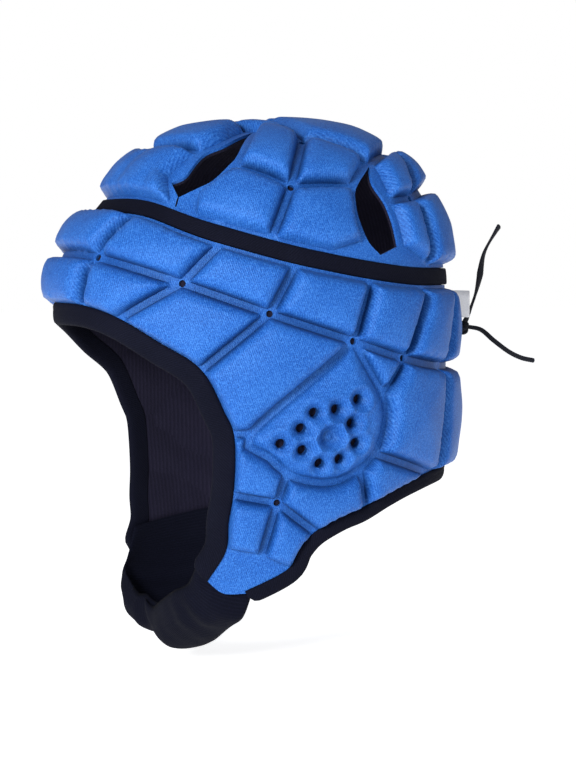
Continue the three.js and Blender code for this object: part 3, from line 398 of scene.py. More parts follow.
def cloth_normal(places):
    step = 0.4
    turn, fall = np.array([step, 0]), np.array([0, step])
    round_way = cloth_point(places + turn) - cloth_point(places - turn)
    down_way = cloth_point(places + fall) - cloth_point(np.maximum(places - fall, [-1e9, 0]))
    normal = np.cross(down_way, round_way)
    length = np.linalg.norm(normal, axis=1, keepdims=True)
    normal = normal / np.maximum(length, 1e-9)
    normal[places[:, 1] < 0.8] = (0, 0, 1)
    return normal


def raised(places, height):
    return cloth_point(places) + cloth_normal(places) * np.reshape(height, (-1, 1))


def place_of(points):
    drop = STACK - points[:, 2]
    half, front, back = section(drop)
    reach = np.where(points[:, 1] < 0, front, back)
    aside = points[:, 0] / np.maximum(half, 1e-6)
    ahead = -points[:, 1] / np.maximum(reach, 1e-6)
    return np.column_stack([np.degrees(np.arctan2(aside, ahead)), np.maximum(drop, 0)])


def onto_cloth(points, outward):
    """Places where lines through points, along directions out of the head, meet the cloth."""
    low, high = np.full(len(points), -30.0), np.full(len(points), 40.0)
    for _ in range(26):
        middle = (low + high) / 2
        at = points + outward * middle[:, None]
        drop = STACK - at[:, 2]
        half, front, back = section(np.maximum(drop, 0))
        reach = np.where(at[:, 1] < 0, front, back)
        spread = (at[:, 0] / np.maximum(half, 1e-6)) ** 2 + (at[:, 1] / np.maximum(reach, 1e-6)) ** 2
        inside = (drop > 0) & (spread < 1)
        low, high = np.where(inside, middle, low), np.where(inside, high, middle)
    return place_of(points + outward * low[:, None])


def band_place(angles, offset):
    """Places beside the band's middle line, moved down the cloth by an offset."""
    angles = np.atleast_1d(np.asarray(angles, float))
    drop = np.interp(np.abs(angles), FINE_BAND[:, 0], FINE_BAND[:, 1]) * CAP_DROP
    below = cloth_point(np.column_stack([angles, drop + 1]))
    above = cloth_point(np.column_stack([angles, drop - 1]))
    stretch = np.linalg.norm(below - above, axis=1)
    return np.column_stack([angles, drop + offset * 2 / stretch])


def inset_outline(corners, distances, radius):
    """A closed flat outline moved inwards, each side by its own distance, with rounded corners."""
    corners = np.asarray(corners, float)
    along = unit(np.roll(corners, -1, axis=0) - corners)
    inward = np.column_stack([-along[:, 1], along[:, 0]])
    start = corners + inward * np.asarray(distances, float)[:, None]
    moved = []
    for i in range(len(corners)):
        a, b = start[i - 1], start[i]
        da, db = along[i - 1], along[i]
        turn = da[0] * db[1] - da[1] * db[0]
        if abs(turn) < 0.02:
            moved.append(b)
        else:
            gap = b - a
            moved.append(a + da * ((gap[0] * db[1] - gap[1] * db[0]) / turn))
    rounded = []
    for i, p in enumerate(moved):
        before, after = moved[i - 1] - p, moved[(i + 1) % len(moved)] - p
        lb, la = np.linalg.norm(before), np.linalg.norm(after)
        if lb < 1e-6 or la < 1e-6:
            continue
        angle = math.acos(max(-1.0, min(1.0, float(before @ after) / lb / la)))
        if angle > math.radians(160) or radius <= 0:
            rounded.append(p)
            continue
        reach = min(radius / math.tan(angle / 2), lb * 0.42, la * 0.42)
        a, b = p + before / lb * reach, p + after / la * reach
        for t in (0, 0.25, 0.5, 0.75, 1):
            rounded.append(a * (1 - t) ** 2 + p * 2 * t * (1 - t) + b * t * t)
    return np.array(rounded)


def stepped(loop, step):
    """A closed loop with points no further apart than a step."""
    out = []
    for a, b in zip(loop, np.roll(loop, -1, axis=0)):
        count = max(1, int(round(np.linalg.norm(b - a) / step)))
        out += [a + (b - a) * k / count for k in range(count)]
    out = np.array(out)
    keep = np.linalg.norm(out - np.roll(out, 1, axis=0), axis=1) > 0.25 * min(step, 1)
    return out[keep]


def distance_inside(points, loop):
    """Distance of each point to a closed loop, above zero inside it."""
    a, b = loop, np.roll(loop, -1, axis=0)
    d = b - a
    rel = points[:, None, :] - a[None]
    t = np.clip((rel * d[None]).sum(2) / np.maximum((d * d).sum(1), 1e-12)[None], 0, 1)
    gap = np.linalg.norm(rel - t[..., None] * d[None], axis=2).min(1)
    y, x = points[:, 1][:, None], points[:, 0][:, None]
    crosses = (a[:, 1][None] > y) != (b[:, 1][None] > y)
    slope = np.where(np.abs(d[:, 1]) < 1e-12, 1e-12, d[:, 1])
    at = a[:, 0][None] + (y - a[:, 1][None]) * (d[:, 0] / slope)[None]
    inside = (np.where(crosses, x < at, False).sum(1) % 2) == 1
    return np.where(inside, gap, -gap)


def grid_over(loop, step):
    low, high = loop.min(0), loop.max(0)
    xs = np.arange(low[0] + step / 2, high[0], step)
    rows = []
    for k, y in enumerate(np.arange(low[1] + step / 2, high[1], step * 0.866)):
        rows.append(np.column_stack([xs + (k % 2) * step / 2, np.full(len(xs), y)]))
    return np.vstack(rows) if rows else np.zeros((0, 2))


class Panel:
    """A panel of cells that meet along shared lines."""

    def __init__(self, crossings, cells, band_side):
        self.band_side = band_side
        self.places, self.on_band = {}, {}
        for name, (angle, share) in crossings.items():
            if share is None:
                place = band_place(angle, band_side * BAND_WIDTH / 2)[0]
            else:
                place = (angle, share * CAP_DROP)
            self.places[name] = np.array(place, float)
            self.places["right_" + name] = np.array([-place[0], place[1]], float)
            self.on_band[name] = self.on_band["right_" + name] = share is None
        self.runs = {}
        for run in SMOOTH_RUNS:
            names = run.split()
            if all(n in self.places for n in names):
                self.add_run(names)
                self.add_run([self.other_side(n) for n in names])
        self.edges = {}
        self.cells = []
        for kind, names, *pad in cells:
            names = names.split()
            pad = pad[0].split() if pad else names
            if kind in ("middle", "brow"):
                self.cells.append(Cell(self, kind, self.both(names), self.both(pad)))
            else:
                self.cells.append(Cell(self, kind, names, pad))
                self.cells.append(Cell(self, kind, self.flipped(names), self.flipped(pad)))

    @staticmethod
    def other_side(name):
        return name[6:] if name.startswith("right_") else "right_" + name

    def both(self, names):
        return names + ["right_" + n for n in names[1:-1]][::-1]

    def flipped(self, names):
        return ["right_" + n for n in names][::-1]

    def add_run(self, names):
        points = cloth_point(np.array([self.places[n] for n in names]))
        for i in range(len(names) - 1):
            if (names[i + 1], names[i]) not in self.runs:
                self.runs[(names[i], names[i + 1])] = (points, i)

    def edge(self, a, b, step=None):
        """Places along the line from crossing a to b, without b."""
        key = (a, b, step)
        if key not in self.edges:
            step = step or EDGE_STEP
            turned = (b, a) in self.runs or ((a, b) not in self.runs and a > b)
            first, second = (b, a) if turned else (a, b)
            p, q = self.places[first], self.places[second]
            ends = cloth_point(np.array([p, q]))
            count = max(1, int(math.ceil(np.linalg.norm(ends[1] - ends[0]) / step)))
            f = np.arange(count + 1) / count
            if self.on_band[first] and self.on_band[second]:
                places = band_place(p[0] + (q[0] - p[0]) * f, self.band_side * BAND_WIDTH / 2)
            else:
                if (first, second) in self.runs:
                    points, i = self.runs[(first, second)]
                    line = through(points, i + f)
                else:
                    line = ends[0] + (ends[1] - ends[0]) * f[:, None]
                out = cloth_normal(np.array([p, q])).sum(0)
                out = out / np.linalg.norm(out)
                places = onto_cloth(line, np.tile(out, (count + 1, 1)))
            places[0], places[-1] = p, q
            self.edges[key] = places[:0:-1] if turned else places[:-1]
        return self.edges[key]

    def outline(self, names, step=None):
        return np.vstack([self.edge(a, b, step) for a, b in zip(names, names[1:] + names[:1])])


def flat_frame(points):
    """A flat frame for a loop of points that runs round either way; its normal points out of the head."""
    centre = points.mean(0)
    nxt = np.roll(points, -1, axis=0)
    normal = np.cross(points - centre, nxt - centre).sum(0)
    normal /= np.linalg.norm(normal)
    turned = normal @ (centre - np.array([0, 0, -CAP_DROP / 3])) < 0
    if turned:
        normal = -normal
    across = np.cross([0, 0, 1], normal)
    across = across / np.linalg.norm(across) if np.linalg.norm(across) > 0.05 else np.array([1.0, 0, 0])
    up = np.cross(normal, across)
    return centre, across, up, normal, turned


def cloth_mesh(name, points, faces, flat):
    """A mesh of points in millimetres; its cloth map is the flat places of the faces' corners."""
    mesh = bpy.data.meshes.new(name)
    mesh.from_pydata([tuple(p) for p in np.asarray(points) * 0.001], [], faces)
    layer = mesh.uv_layers.new(name="cloth")
    layer.data.foreach_set("uv", (np.array(flat, np.float32) * 0.001).ravel())
    mesh.validate()
    return mesh


def new_object(name, data):
    made = bpy.data.objects.new(name, data)
    bpy.context.scene.collection.objects.link(made)
    return made


class Shell:
    """Faces under construction, in points that are joined where they meet."""

    def __init__(self):
        self.points, self.faces, self.flat, self.index = [], [], [], {}

    def vertex(self, point, flat):
        key = (round(point[0], 2), round(point[1], 2), round(point[2], 2))
        if key not in self.index:
            self.index[key] = len(self.points)
            self.points.append(point)
        return self.index[key], flat

    def face(self, corners):
        numbers = [c[0] for c in corners]
        if len(set(numbers)) == len(numbers):
            self.faces.append(numbers)
            self.flat.append([c[1] for c in corners])

    def mesh(self, name):
        return cloth_mesh(name, self.points, self.faces, [c for face in self.flat for c in face])


def triangulate(loop, inner, rings=()):
    """Triangles over a flat loop, with points inside it and rings that no triangle crosses."""
    vertices = [Vector(p) for p in loop]
    edges = []
    for ring in rings:
        start = len(vertices)
        vertices += [Vector(p) for p in ring]
        edges += [(start + k, start + (k + 1) % len(ring)) for k in range(len(ring))]
    vertices += [Vector(p) for p in inner]
    made = delaunay_2d_cdt(vertices, edges, [list(range(len(loop)))], 1, 1e-4)
    points = np.array([(v[0], v[1]) for v in made[0]])
    return points, [list(f) for f in made[2]]


def smoothed(values, faces, fixed, rounds):
    """Heights evened out with their neighbours', where they aren't fixed."""
    tri = np.array(faces)
    a = np.concatenate([tri[:, 0], tri[:, 1], tri[:, 2]])
    b = np.concatenate([tri[:, 1], tri[:, 2], tri[:, 0]])
    count = np.bincount(a, minlength=len(values)) + np.bincount(b, minlength=len(values))
    for _ in range(rounds):
        total = np.bincount(a, values[b], len(values)) + np.bincount(b, values[a], len(values))
        values = np.where(fixed | (count == 0), values, 0.4 * values + 0.6 * total / np.maximum(count, 1))
    return values


class Cell:
    """One cell of a panel, with a flat frame of its own."""

    def __init__(self, panel, kind, names, pad):
        self.kind = kind
        self.outline = panel.outline(names)
        points = cloth_point(self.outline)
        self.centre, self.across, self.up, self.normal, turned = flat_frame(points)
        if turned:
            self.outline, points, pad = self.outline[::-1], points[::-1], pad[::-1]
        self.loop = self.lay(points)
        self.near = {(round(p[0], 2), round(p[1], 2)): k for k, p in enumerate(self.loop)}
        corners, self.distances = [], []
        for a, b in zip(pad, pad[1:] + pad[:1]):
            beside = abs(names.index(a) - names.index(b)) in (1, len(names) - 1)
            side = cloth_point(panel.edge(a, b, 7) if beside else panel.places[a][None])
            corners.append(self.lay(side))
            self.distances += [VENT_FLANGE if "vent" in a and "vent" in b else PAD_FOOT] * len(side)
        self.corners = np.vstack(corners)
        self.seed = float(abs(self.centre[0]) + self.centre[1] * 0.37 + self.centre[2] * 0.21)

    def lay(self, points):
        return np.column_stack([(points - self.centre) @ self.across, (points - self.centre) @ self.up])

    def to_cloth(self, flat):
        at = self.centre + flat[:, :1] * self.across + flat[:, 1:] * self.up
        places = onto_cloth(at, np.tile(self.normal, (len(flat), 1)))
        for k, p in enumerate(flat):
            hit = self.near.get((round(p[0], 2), round(p[1], 2)))
            if hit is not None:
                places[k] = self.outline[hit]
        return places

    def inset(self, extra):
        return inset_outline(self.corners, [d + extra for d in self.distances], PAD_CORNER)

    def add(self, shell, flat, faces, height, inner):
        """Adds triangles at heights above the cloth; an inner face looks into the head."""
        places = self.to_cloth(flat)
        solid = raised(places, height(cloth_point(places)) if callable(height) else height)
        for a, b, c in faces:
            area = np.cross(flat[b] - flat[a], flat[c] - flat[a])
            if (area < 0) != inner:
                b, c = c, b
            shell.face([shell.vertex(solid[k], flat[k]) for k in (a, b, c)])

    def add_plain(self, shell, step, height, inner, puff=0.0):
        grid = grid_over(self.loop, step)
        flat, faces = triangulate(self.loop, grid[distance_inside(grid, self.loop) > step * 0.5])
        depth = np.clip(distance_inside(flat, self.loop) / 9, 0, 1)
        self.add(shell, flat, faces, height - puff * np.sqrt(depth), inner)

    def add_pad(self, shell, fine):
        foot = stepped(self.inset(0), fine * 1.1)
        rings = []
        for extra in (0.6, 1.4, 2.5):
            ring = stepped(self.inset(extra), fine * 1.1)
            rings.append(ring[distance_inside(ring, foot) > extra * 0.7])
        grid = grid_over(self.loop, fine)
        depth, away = distance_inside(grid, foot), distance_inside(grid, self.loop)
        grid = grid[(depth > 2.5 + fine * 0.6) | ((depth < -fine * 0.8) & (away > fine * 0.8))]
        flat, faces = triangulate(self.loop, np.vstack([*rings, grid]), [foot])
        depth = distance_inside(flat, foot)
        height = smoothed(pad_heights(self.kind, flat, depth, self.seed), faces, depth < 0.5, 2)

        def dressed(base):
            if self.kind != "ear":
                return height
            marks = ear_marks(base, 1 if self.centre[0] > 0 else -1)
            return np.maximum(height + marks * np.clip(depth / 3, 0, 1), 0.12 * height)

        self.add(shell, flat, faces, dressed, False)


def softly_least(a, b, reach):
    """The lesser of two heights, rounded where they meet."""
    lost = reach * math.log(2) * np.exp(-np.abs(a - b) / reach)
    return -reach * np.log(np.exp(-a / reach) + np.exp(-b / reach)) + lost


def pad_heights(kind, flat, depth, seed):
    """How high the pad stands over points at a depth inside its foot line."""
    deepest = max(float(depth.max()), 1.0)
    rough = np.array([noise.noise(Vector((p[0] * 0.055, p[1] * 0.055, seed * 7.3))) for p in flat])
    if kind == "ear":
        t = np.clip(depth / EAR_SHOULDER, 0, 1)
        return np.where(depth > 0, EAR_RISE * (1 - (1 - t) ** 2.6) + 0.25 * rough * t, 0)
    rise = PAD_RISE * min(1.0, 0.62 + 0.38 * (deepest - 4) / 7)
    slope = BEVEL_SLOPE * (1 + 0.12 * rough)
    dome = rise + PAD_SWELL * np.clip((depth - 4) / 16, 0, 1) ** 0.8 + PAD_UNEVEN * rough
    height = softly_least(slope * np.maximum(depth, 0), dome, PAD_SOFTNESS)
    if kind == "brow":
        for at in BROW_CREASES:
            crease = swell(np.abs(flat[:, 0] - at), BROW_CREASE_DEPTH, 0, BROW_CREASE_WIDTH)
            height -= crease * np.clip(depth / 6, 0, 1)
    return np.where(depth > 0, np.maximum(height, 0), 0)


def swell(away, rise, radius, width, power=2):
    return rise * np.exp(-(((away - radius) / width) ** power))


def ear_marks(points, side):
    """Dents round the holes of an ear dome, and the ringed dimple at its middle."""
    def away(angle, share):
        at = cloth_point(np.array([[angle * side, share * CAP_DROP]]))[0]
        return np.linalg.norm(points - at, axis=1)

    change = np.zeros(len(points))
    for angle, share in EAR_HOLES:
        r = away(angle, share)
        change += swell(r, *HOLE_RIM) - swell(r, *HOLE_DENT)
    r = away(*EAR_DIMPLE)
    return change + swell(r, *DIMPLE_RING) - swell(r, *DIMPLE_DENT, power=4) + swell(r, *DIMPLE_BOSS)


def close_edges(shell, outlines, top, bottom):
    """Walls along every line that only one outline has."""
    steps = {}
    for outline in outlines:
        spots = [tuple(v) for v in np.round(cloth_point(outline), 1) + 0.0]
        for k in range(len(outline)):
            j = (k + 1) % len(outline)
            steps[(spots[k], spots[j])] = (outline[k], outline[j])
    for (a, b), (p, q) in steps.items():
        if (b, a) in steps:
            continue
        two = np.array([q, p])
        high, low = raised(two, [top, top]), raised(two, [bottom, bottom])
        ring = [(high[0], (0, 0)), (high[1], (2, 0)), (low[1], (2, 1.5)), (low[0], (0, 1.5))]
        shell.face([shell.vertex(point, uv) for point, uv in ring])


def finish_mesh(name, mesh, sharp=None):
    """Puts a mesh in the scene as a piece, smooth, with faces out."""
    work = bmesh.new()
    work.from_mesh(mesh)
    bmesh.ops.remove_doubles(work, verts=work.verts, dist=2e-5)
    bmesh.ops.dissolve_degenerate(work, dist=1e-7, edges=work.edges)
    bmesh.ops.recalc_face_normals(work, faces=work.faces)
    work.to_mesh(mesh)
    work.free()
    piece = new_object(name, mesh)
    mesh.shade_smooth()
    if sharp:
        mesh.set_sharp_from_angle(angle=math.radians(sharp))
    return piece


def padded_panel(name, panel):
    """A moulded panel: cloth over foam pads outside, flat cloth inside."""
    shell = Shell()
    for cell in panel.cells:
        if cell.kind == "flat":
            cell.add_plain(shell, 3, 0.0, False)
        else:
            cell.add_pad(shell, PAD_STEP)
        cell.add_plain(shell, 7, -PANEL_WALL, True)
    close_edges(shell, [cell.outline for cell in panel.cells], 0.0, -PANEL_WALL)
    return finish_mesh(name, shell.mesh(name))


def band_strips(panel):
    """Strips of lining from the panel's edge at the band to the band's middle."""
    strips = []
    for cell in panel.cells:
        edge = band_place(cell.outline[:, 0], panel.band_side * BAND_WIDTH / 2)
        inside = band_place(cell.outline[:, 0], panel.band_side * SEAT_GAP)
        on = np.abs(edge[:, 1] - cell.outline[:, 1]) < 0.01
        for k in range(len(on)):
            j = (k + 1) % len(on)
            if on[k] and on[j]:
                strips.append(np.array([cell.outline[j], cell.outline[k], inside[k], inside[j]]))
    return strips


def gap_strips(panel):
    """Strips of lining across the laced gap."""
    def column(side):
        names = [side + n for n in ("gap_head", "gap_hole", "gap_foot")]
        head = band_place(panel.places[names[0]][0], SEAT_GAP)
        down = [panel.edge(a, b) for a, b in zip(names, names[1:])]
        return np.vstack([head, *down, panel.places[names[2]][None]])

    left, right = column(""), column("right_")
    strips = []
    for i in range(len(left) - 1):
        above, below = (180, left[i][1]), (180, left[i + 1][1])
        strips.append(np.array([left[i + 1], below, above, left[i]]))
        above, below = (-180, left[i][1]), (-180, left[i + 1][1])
        strips.append(np.array([below, right[i + 1], right[i], above]))
    return strips


def lining(name, panel, strips):
    shell = Shell()
    for cell in panel.cells:
        cell.add_plain(shell, 5, LINING_TOP, False)
        cell.add_plain(shell, 4, -STACK, True, LINING_PUFF)
    for strip in strips:
        for height, inner in ((LINING_TOP, False), (-STACK, True)):
            corners = [shell.vertex(p, (k, height)) for k, p in enumerate(raised(strip, height))]
            shell.face(corners[::-1] if inner else corners)
    close_edges(shell, [cell.outline for cell in panel.cells] + strips, LINING_TOP, -STACK)
    return finish_mesh(name, shell.mesh(name), 60)


def punch(piece, places, diameter, depth=16):
    """Punches round holes straight through a piece."""
    cutter = bmesh.new()
    for point, normal in zip(cloth_point(places), cloth_normal(places)):
        turn = Vector((0, 0, 1)).rotation_difference(Vector(normal)).to_matrix().to_4x4()
        move = Matrix.Translation(Vector(point) * 0.001)
        bmesh.ops.create_cone(cutter, cap_ends=True, segments=16, radius1=diameter / 2000,
                              radius2=diameter / 2000, depth=depth * 0.002, matrix=move @ turn)
    mesh = bpy.data.meshes.new("holes")
    cutter.to_mesh(mesh)
    cutter.free()
    holes = new_object("holes", mesh)
    cut = piece.modifiers.new("holes", "BOOLEAN")
    cut.operation, cut.solver, cut.object = "DIFFERENCE", "MANIFOLD", holes
    bpy.context.view_layer.update()
    graph = bpy.context.evaluated_depsgraph_get()
    made = bpy.data.meshes.new_from_object(piece.evaluated_get(graph), depsgraph=graph)
    piece.modifiers.clear()
    old, piece.data = piece.data, made
    bpy.data.meshes.remove(old)
    bpy.data.objects.remove(holes)
    bpy.data.meshes.remove(mesh)


def both_sides(places):
    places = np.asarray(places, float)
    return np.vstack([places, places * [-1, 1]])


def loft(name, rings, closed=False):
    """A closed body through rings of points; each ring's last point joins its first."""
    rings = np.asarray(rings, float)
    count, around = rings.shape[:2]
    runs = np.linalg.norm(np.diff(rings, axis=0), axis=2).mean(1)
    along = np.concatenate([[0], np.cumsum(runs)])
    girth = np.linalg.norm(np.roll(rings, -1, axis=1) - rings, axis=2).mean(0)
    across = np.concatenate([[0], np.cumsum(girth)])
    faces, flat = [], []
    for i in range(count if closed else count - 1):
        j = (i + 1) % count
        end = along[i] + (along[1] if closed and j == 0 else along[j] - along[i])
        for k in range(around):
            m = (k + 1) % around
            faces.append((i * around + k, i * around + m, j * around + m, j * around + k))
            start, low, high = along[i], across[k], across[k + 1]
            flat += [(start, low), (start, high), (end, high), (end, low)]
    if not closed:
        for i, order in ((0, range(around - 1, -1, -1)), (count - 1, range(around))):
            faces.append(tuple(i * around + k for k in order))
            flat += [(along[i], across[k]) for k in order]
    return finish_mesh(name, cloth_mesh(name, rings.reshape(-1, 3), faces, flat))


def round_profile(half, top, bottom, soft):
    """Offsets and heights round a flat tape with soft edges."""
    points = []
    for x, rise in ((-1, 0.3), (-0.965, 0.7), (-0.88, 0.93), (-0.6, 1), (0, 1.04), (0.6, 1), (0.88, 0.93),
                    (0.965, 0.7), (1, 0.3)):
        points.append((x * half, bottom + (top - bottom) * (1 - soft + soft * rise)))
    return points + [(half * 0.97, bottom), (0, bottom), (-half * 0.97, bottom)]


def crown_band():
    profile = round_profile(BAND_WIDTH / 2 - SEAT_GAP, 1.25, SEAT_GAP - PANEL_WALL, 0.6)
    angles = np.arange(300) * 360 / 300 - 180
    rings = np.stack([raised(band_place(angles, off), np.full(300, rise)) for off, rise in profile], axis=1)
    return loft("crown_band_tape", rings, closed=True)


BINDING = [
    (-1.5, 0.25), (-1.35, 0.8), (-0.6, 1.25), (0.6, 1.45), (2.2, 1.3), (3.4, 1.42), (5.2, 1.4), (7, 1.2),
    (8.4, 0.75), (9.2, -0.1), (9.5, -1.1), (9.2, -2.1), (8.3, -2.9), (6, -3.35), (2.5, -3.45), (-0.4, -3.5),
    (-1.3, -3.35), (-1.3, -3.05), (0.1, -3.03), (0.15, 0.05),
]


def binding(name, panel, run_names, width):
    """A tape folded over a free edge of the side panel and its lining."""
    run = np.vstack([panel.edge(a, b) for a, b in zip(run_names, run_names[1:])]
                    + [panel.places[run_names[-1]][None]])
    points, normals = cloth_point(run), cloth_normal(run)
    steps = np.diff(points, axis=0)
    lead = np.vstack([steps[:1], steps])
    trail = np.vstack([steps, steps[-1:]])
    sides = [unit(np.cross(s, normals)) for s in (lead, trail)]
    out = unit(sides[0] + sides[1])
    mitre = 1 / np.maximum((out * sides[1]).sum(1), 0.5)
    at_gap = np.abs(run[:, 0]) > GAP_ANGLE - 1
    lowest = np.where(at_gap, -PANEL_WALL + 0.1, -99)
    run_length = run_of(points)
    to_end = np.clip(np.minimum(run_length, run_length[-1] - run_length) / 6, 0, 1)
    narrowed = 0.3 + 0.7 * np.sqrt(1 - (1 - to_end) ** 2)
    rings = []
    for away, rise in BINDING:
        reach = away * narrowed * width / FACE_TAPE if away > 0.5 else np.full(len(run), away)
        places = onto_cloth(points + out * (reach * mitre)[:, None], normals)
        rings.append(raised(places, np.maximum(rise, lowest)))
    return loft(name, np.stack(rings, axis=1))


def centripetal(points, rows):
    """Points at fractional rows of the even curve through points that the model's cords and strap follow."""
    points = np.asarray(points, float)
    last = len(points) - 1
    extended = np.vstack([2 * points[0] - points[1], points, 2 * points[-1] - points[-2]])
    out = []
    for row in rows:
        i = min(int(row), last - 1)
        f = row - i
        x0, x1, x2, x3 = extended[i:i + 4]
        d0, d1, d2 = [max(np.linalg.norm(q - p), 1e-6) ** 0.5 for p, q in ((x0, x1), (x1, x2), (x2, x3))]
        t1 = ((x1 - x0) / d0 - (x2 - x0) / (d0 + d1) + (x2 - x1) / d1) * d1
        t2 = ((x2 - x1) / d1 - (x3 - x1) / (d1 + d2) + (x3 - x2) / d2) * d1
        square = -3 * x1 + 3 * x2 - 2 * t1 - t2
        cube = 2 * x1 - 2 * x2 + t1 + t2
        out.append(x1 + f * t1 + f * f * square + f ** 3 * cube)
    return np.array(out)


def strap_rows(table):
    """Rows of one half of the strap, from inside its flap to the middle, and on along a mirrored half."""
    sewn, free = table
    rows = []
    for rear_angle, rear_share, front_angle, front_share in sewn:
        f = np.array([0, 0.5, 1])[:, None]
        ends = np.array([[rear_angle, rear_share * CAP_DROP], [front_angle, front_share * CAP_DROP]])
        rows.append(raised(ends[0] + (ends[1] - ends[0]) * f, np.full(3, -(STACK + STRAP_SEAT))))
    rows += [np.array(row, float) for row in free]
    half = np.array(rows + [np.array(STRAP_MIDDLE, float)])
    return np.concatenate([half, (half[:-1] * [-1, 1, 1])[::-1]]), len(half)


def strap_half(name, side, lap_depth, table):
    """One half of the chin strap, wrinkled where it bends, with a turned front edge."""
    rows, half = strap_rows(table)
    middle_at = (half - 1) / (len(rows) - 1)
    fine = np.linspace(0, len(rows) - 1, 400)
    lines = [centripetal(rows[:, k], fine) for k in range(3)]
    length = steps_of(lines[1]).sum()
    ts = np.linspace(0, middle_at + STRAP_LAP / length, 110)
    lines = [centripetal(rows[:, k], ts * (len(rows) - 1)) for k in range(3)]
    tangent = np.gradient(lines[1], axis=0)
    normal = unit(np.cross(lines[2] - lines[0], tangent))
    across = np.linspace(0, 1, 31)
    a, b, c = lines[0][:, None], lines[1][:, None], lines[2][:, None]
    u = across[None, :, None]
    face = a * (1 - u) * (1 - 2 * u) + b * 4 * u * (1 - u) + c * u * (2 * u - 1)
    run = run_of(lines[1])
    s = np.clip((run - (length / 2 - STRAP_LAP - 12)) / 11, 0, 1)
    sunk = lap_depth * s * s * (3 - 2 * s)
    lift = np.zeros((len(ts), len(across)))
    for i in range(len(ts)):
        for k in range(len(across)):
            p = Vector((run[i] * 0.05, across[k] * 1.7, 3.1 * side))
            fold = noise.noise(p) * FOLD_RISE + noise.noise(p * 2.7) * SMALL_FOLD_RISE
            near = math.exp(-((run[i] - PUCKER_AT) / PUCKER_REACH) ** 2)
            pucker = math.sin(run[i] * 0.42 + across[k] * 5.0) * near
            lift[i, k] = (fold + PUCKER_RISE * pucker) * math.sin(math.pi * (0.08 + 0.84 * across[k]))
    hem = HEM_RISE * (1 - np.clip(np.abs(across - HEM_AT) / HEM_HALF, 0, 1) ** 4)
    hem = hem - swell(across, *HEM_STITCH)
    edge = np.minimum(across, 1 - across)
    soft = 1 - np.exp(-edge / 0.025)
    top = lift * 0.8 + (hem * 0.6)[None] - (STRAP_PLY / 2) * (1 - soft)[None]
    under = lift * 0.8 - STRAP_PLY * 0.8 + (STRAP_PLY * 0.3) * (1 - soft)[None]
    taper = np.clip(np.minimum(run, run[-1] - run) / 1.2, 0, 1)[:, None]
    top = under + (top - under) * (0.35 + 0.65 * taper)
    pressed = 0.9 * np.clip(1 - (run[-1] - run) / 7, 0, 1) ** 2 if lap_depth == 0 else 0 * run
    offset = -(sunk + pressed)[:, None]
    upper = face + normal[:, None] * (top + offset)[:, :, None]
    lower = face + normal[:, None] * (under + offset)[:, :, None]
    rings = np.concatenate([upper, lower[:, ::-1]], axis=1)
    return loft(name, rings * [side, 1, 1])


def frames_along(path):
    """Side and lift directions along a path that twist as little as they can."""
    tangent = unit(np.gradient(path, axis=0))
    side = np.cross(tangent[0], [0, 0, 1.0])
    if np.linalg.norm(side) < 0.1:
        side = np.array([1.0, 0, 0])
    sides = []
    for t in tangent:
        side = side - t * (side @ t)
        side = side / np.linalg.norm(side)
        sides.append(side)
    sides = np.array(sides)
    return sides, np.cross(sides, tangent)


def ribbon(name, points, size, twist, count, crimp=0.0, ends=(0.6, 0.6)):
    """A woven lace along points, and its line; twist is its turn in degrees at fractions of its length."""
    width, thick = size
    path = centripetal(points, np.linspace(0, len(points) - 1, count))
    run = run_of(path)
    sides, lifts = frames_along(path)
    turn = np.radians(np.interp(run / run[-1], [t[0] for t in twist], [t[1] for t in twist]))
    around = np.linspace(0, 2 * math.pi, 20, endpoint=False)
    rings = []
    for i in range(count):
        grow = min(1, ends[0] + run[i] / 1.5, ends[1] + (run[-1] - run[i]) / 1.5)
        c, s = math.cos(turn[i]), math.sin(turn[i])
        u, v = sides[i] * c + lifts[i] * s, lifts[i] * c - sides[i] * s
        wave = 1 + crimp * math.sin(run[i] * 4.4)
        x = np.sign(np.cos(around)) * np.abs(np.cos(around)) ** 0.8 * width / 2 * grow * wave
        y = np.sign(np.sin(around)) * np.abs(np.sin(around)) ** 0.8 * thick / 2 * grow
        rings.append(path[i] + x[:, None] * u + y[:, None] * v)
    return loft(name, rings), path


def over_gap(across, drop, height):
    half = section(drop)[0]
    return raised(np.array([[180 - math.degrees(math.asin(across / half)), drop]]), height)[0]


def node_group(name, inputs, outputs):
    tree = bpy.data.node_groups.new(name, "ShaderNodeTree")
    for label, kind, value in inputs:
        socket = tree.interface.new_socket(label, in_out="INPUT", socket_type=kind)
        if value is not None:
            socket.default_value = value
    for label, kind in outputs:
        tree.interface.new_socket(label, in_out="OUTPUT", socket_type=kind)
    return tree, tree.nodes.new("NodeGroupInput"), tree.nodes.new("NodeGroupOutput")


def set_inputs(node, values):
    for label, value in values.items():
        node.inputs[label].default_value = value


def add_math(tree, operation, a, b=0.0, c=0.0):
    node = tree.nodes.new("ShaderNodeMath")
    node.operation = operation
    for socket, value in zip(node.inputs, (a, b, c)):
        if isinstance(value, (int, float)):
            socket.default_value = value
        else:
            tree.links.new(value, socket)
    return node.outputs[0]


def add_noise(tree, vector, scale, detail=2.0, rough=0.5):
    node = tree.nodes.new("ShaderNodeTexNoise")
    set_inputs(node, {"Scale": scale, "Detail": detail, "Roughness": rough})
    tree.links.new(vector, node.inputs["Vector"])
    return node.outputs["Fac"]


def add_ramp(tree, value, stops):
    node = tree.nodes.new("ShaderNodeValToRGB")
    ramp = node.color_ramp
    while len(ramp.elements) < len(stops):
        ramp.elements.new(0.5)
    for element, (place, colour) in zip(ramp.elements, stops):
        element.position = place
        element.color = (*colour, 1)
    tree.links.new(value, node.inputs[0])
    return node.outputs[0]


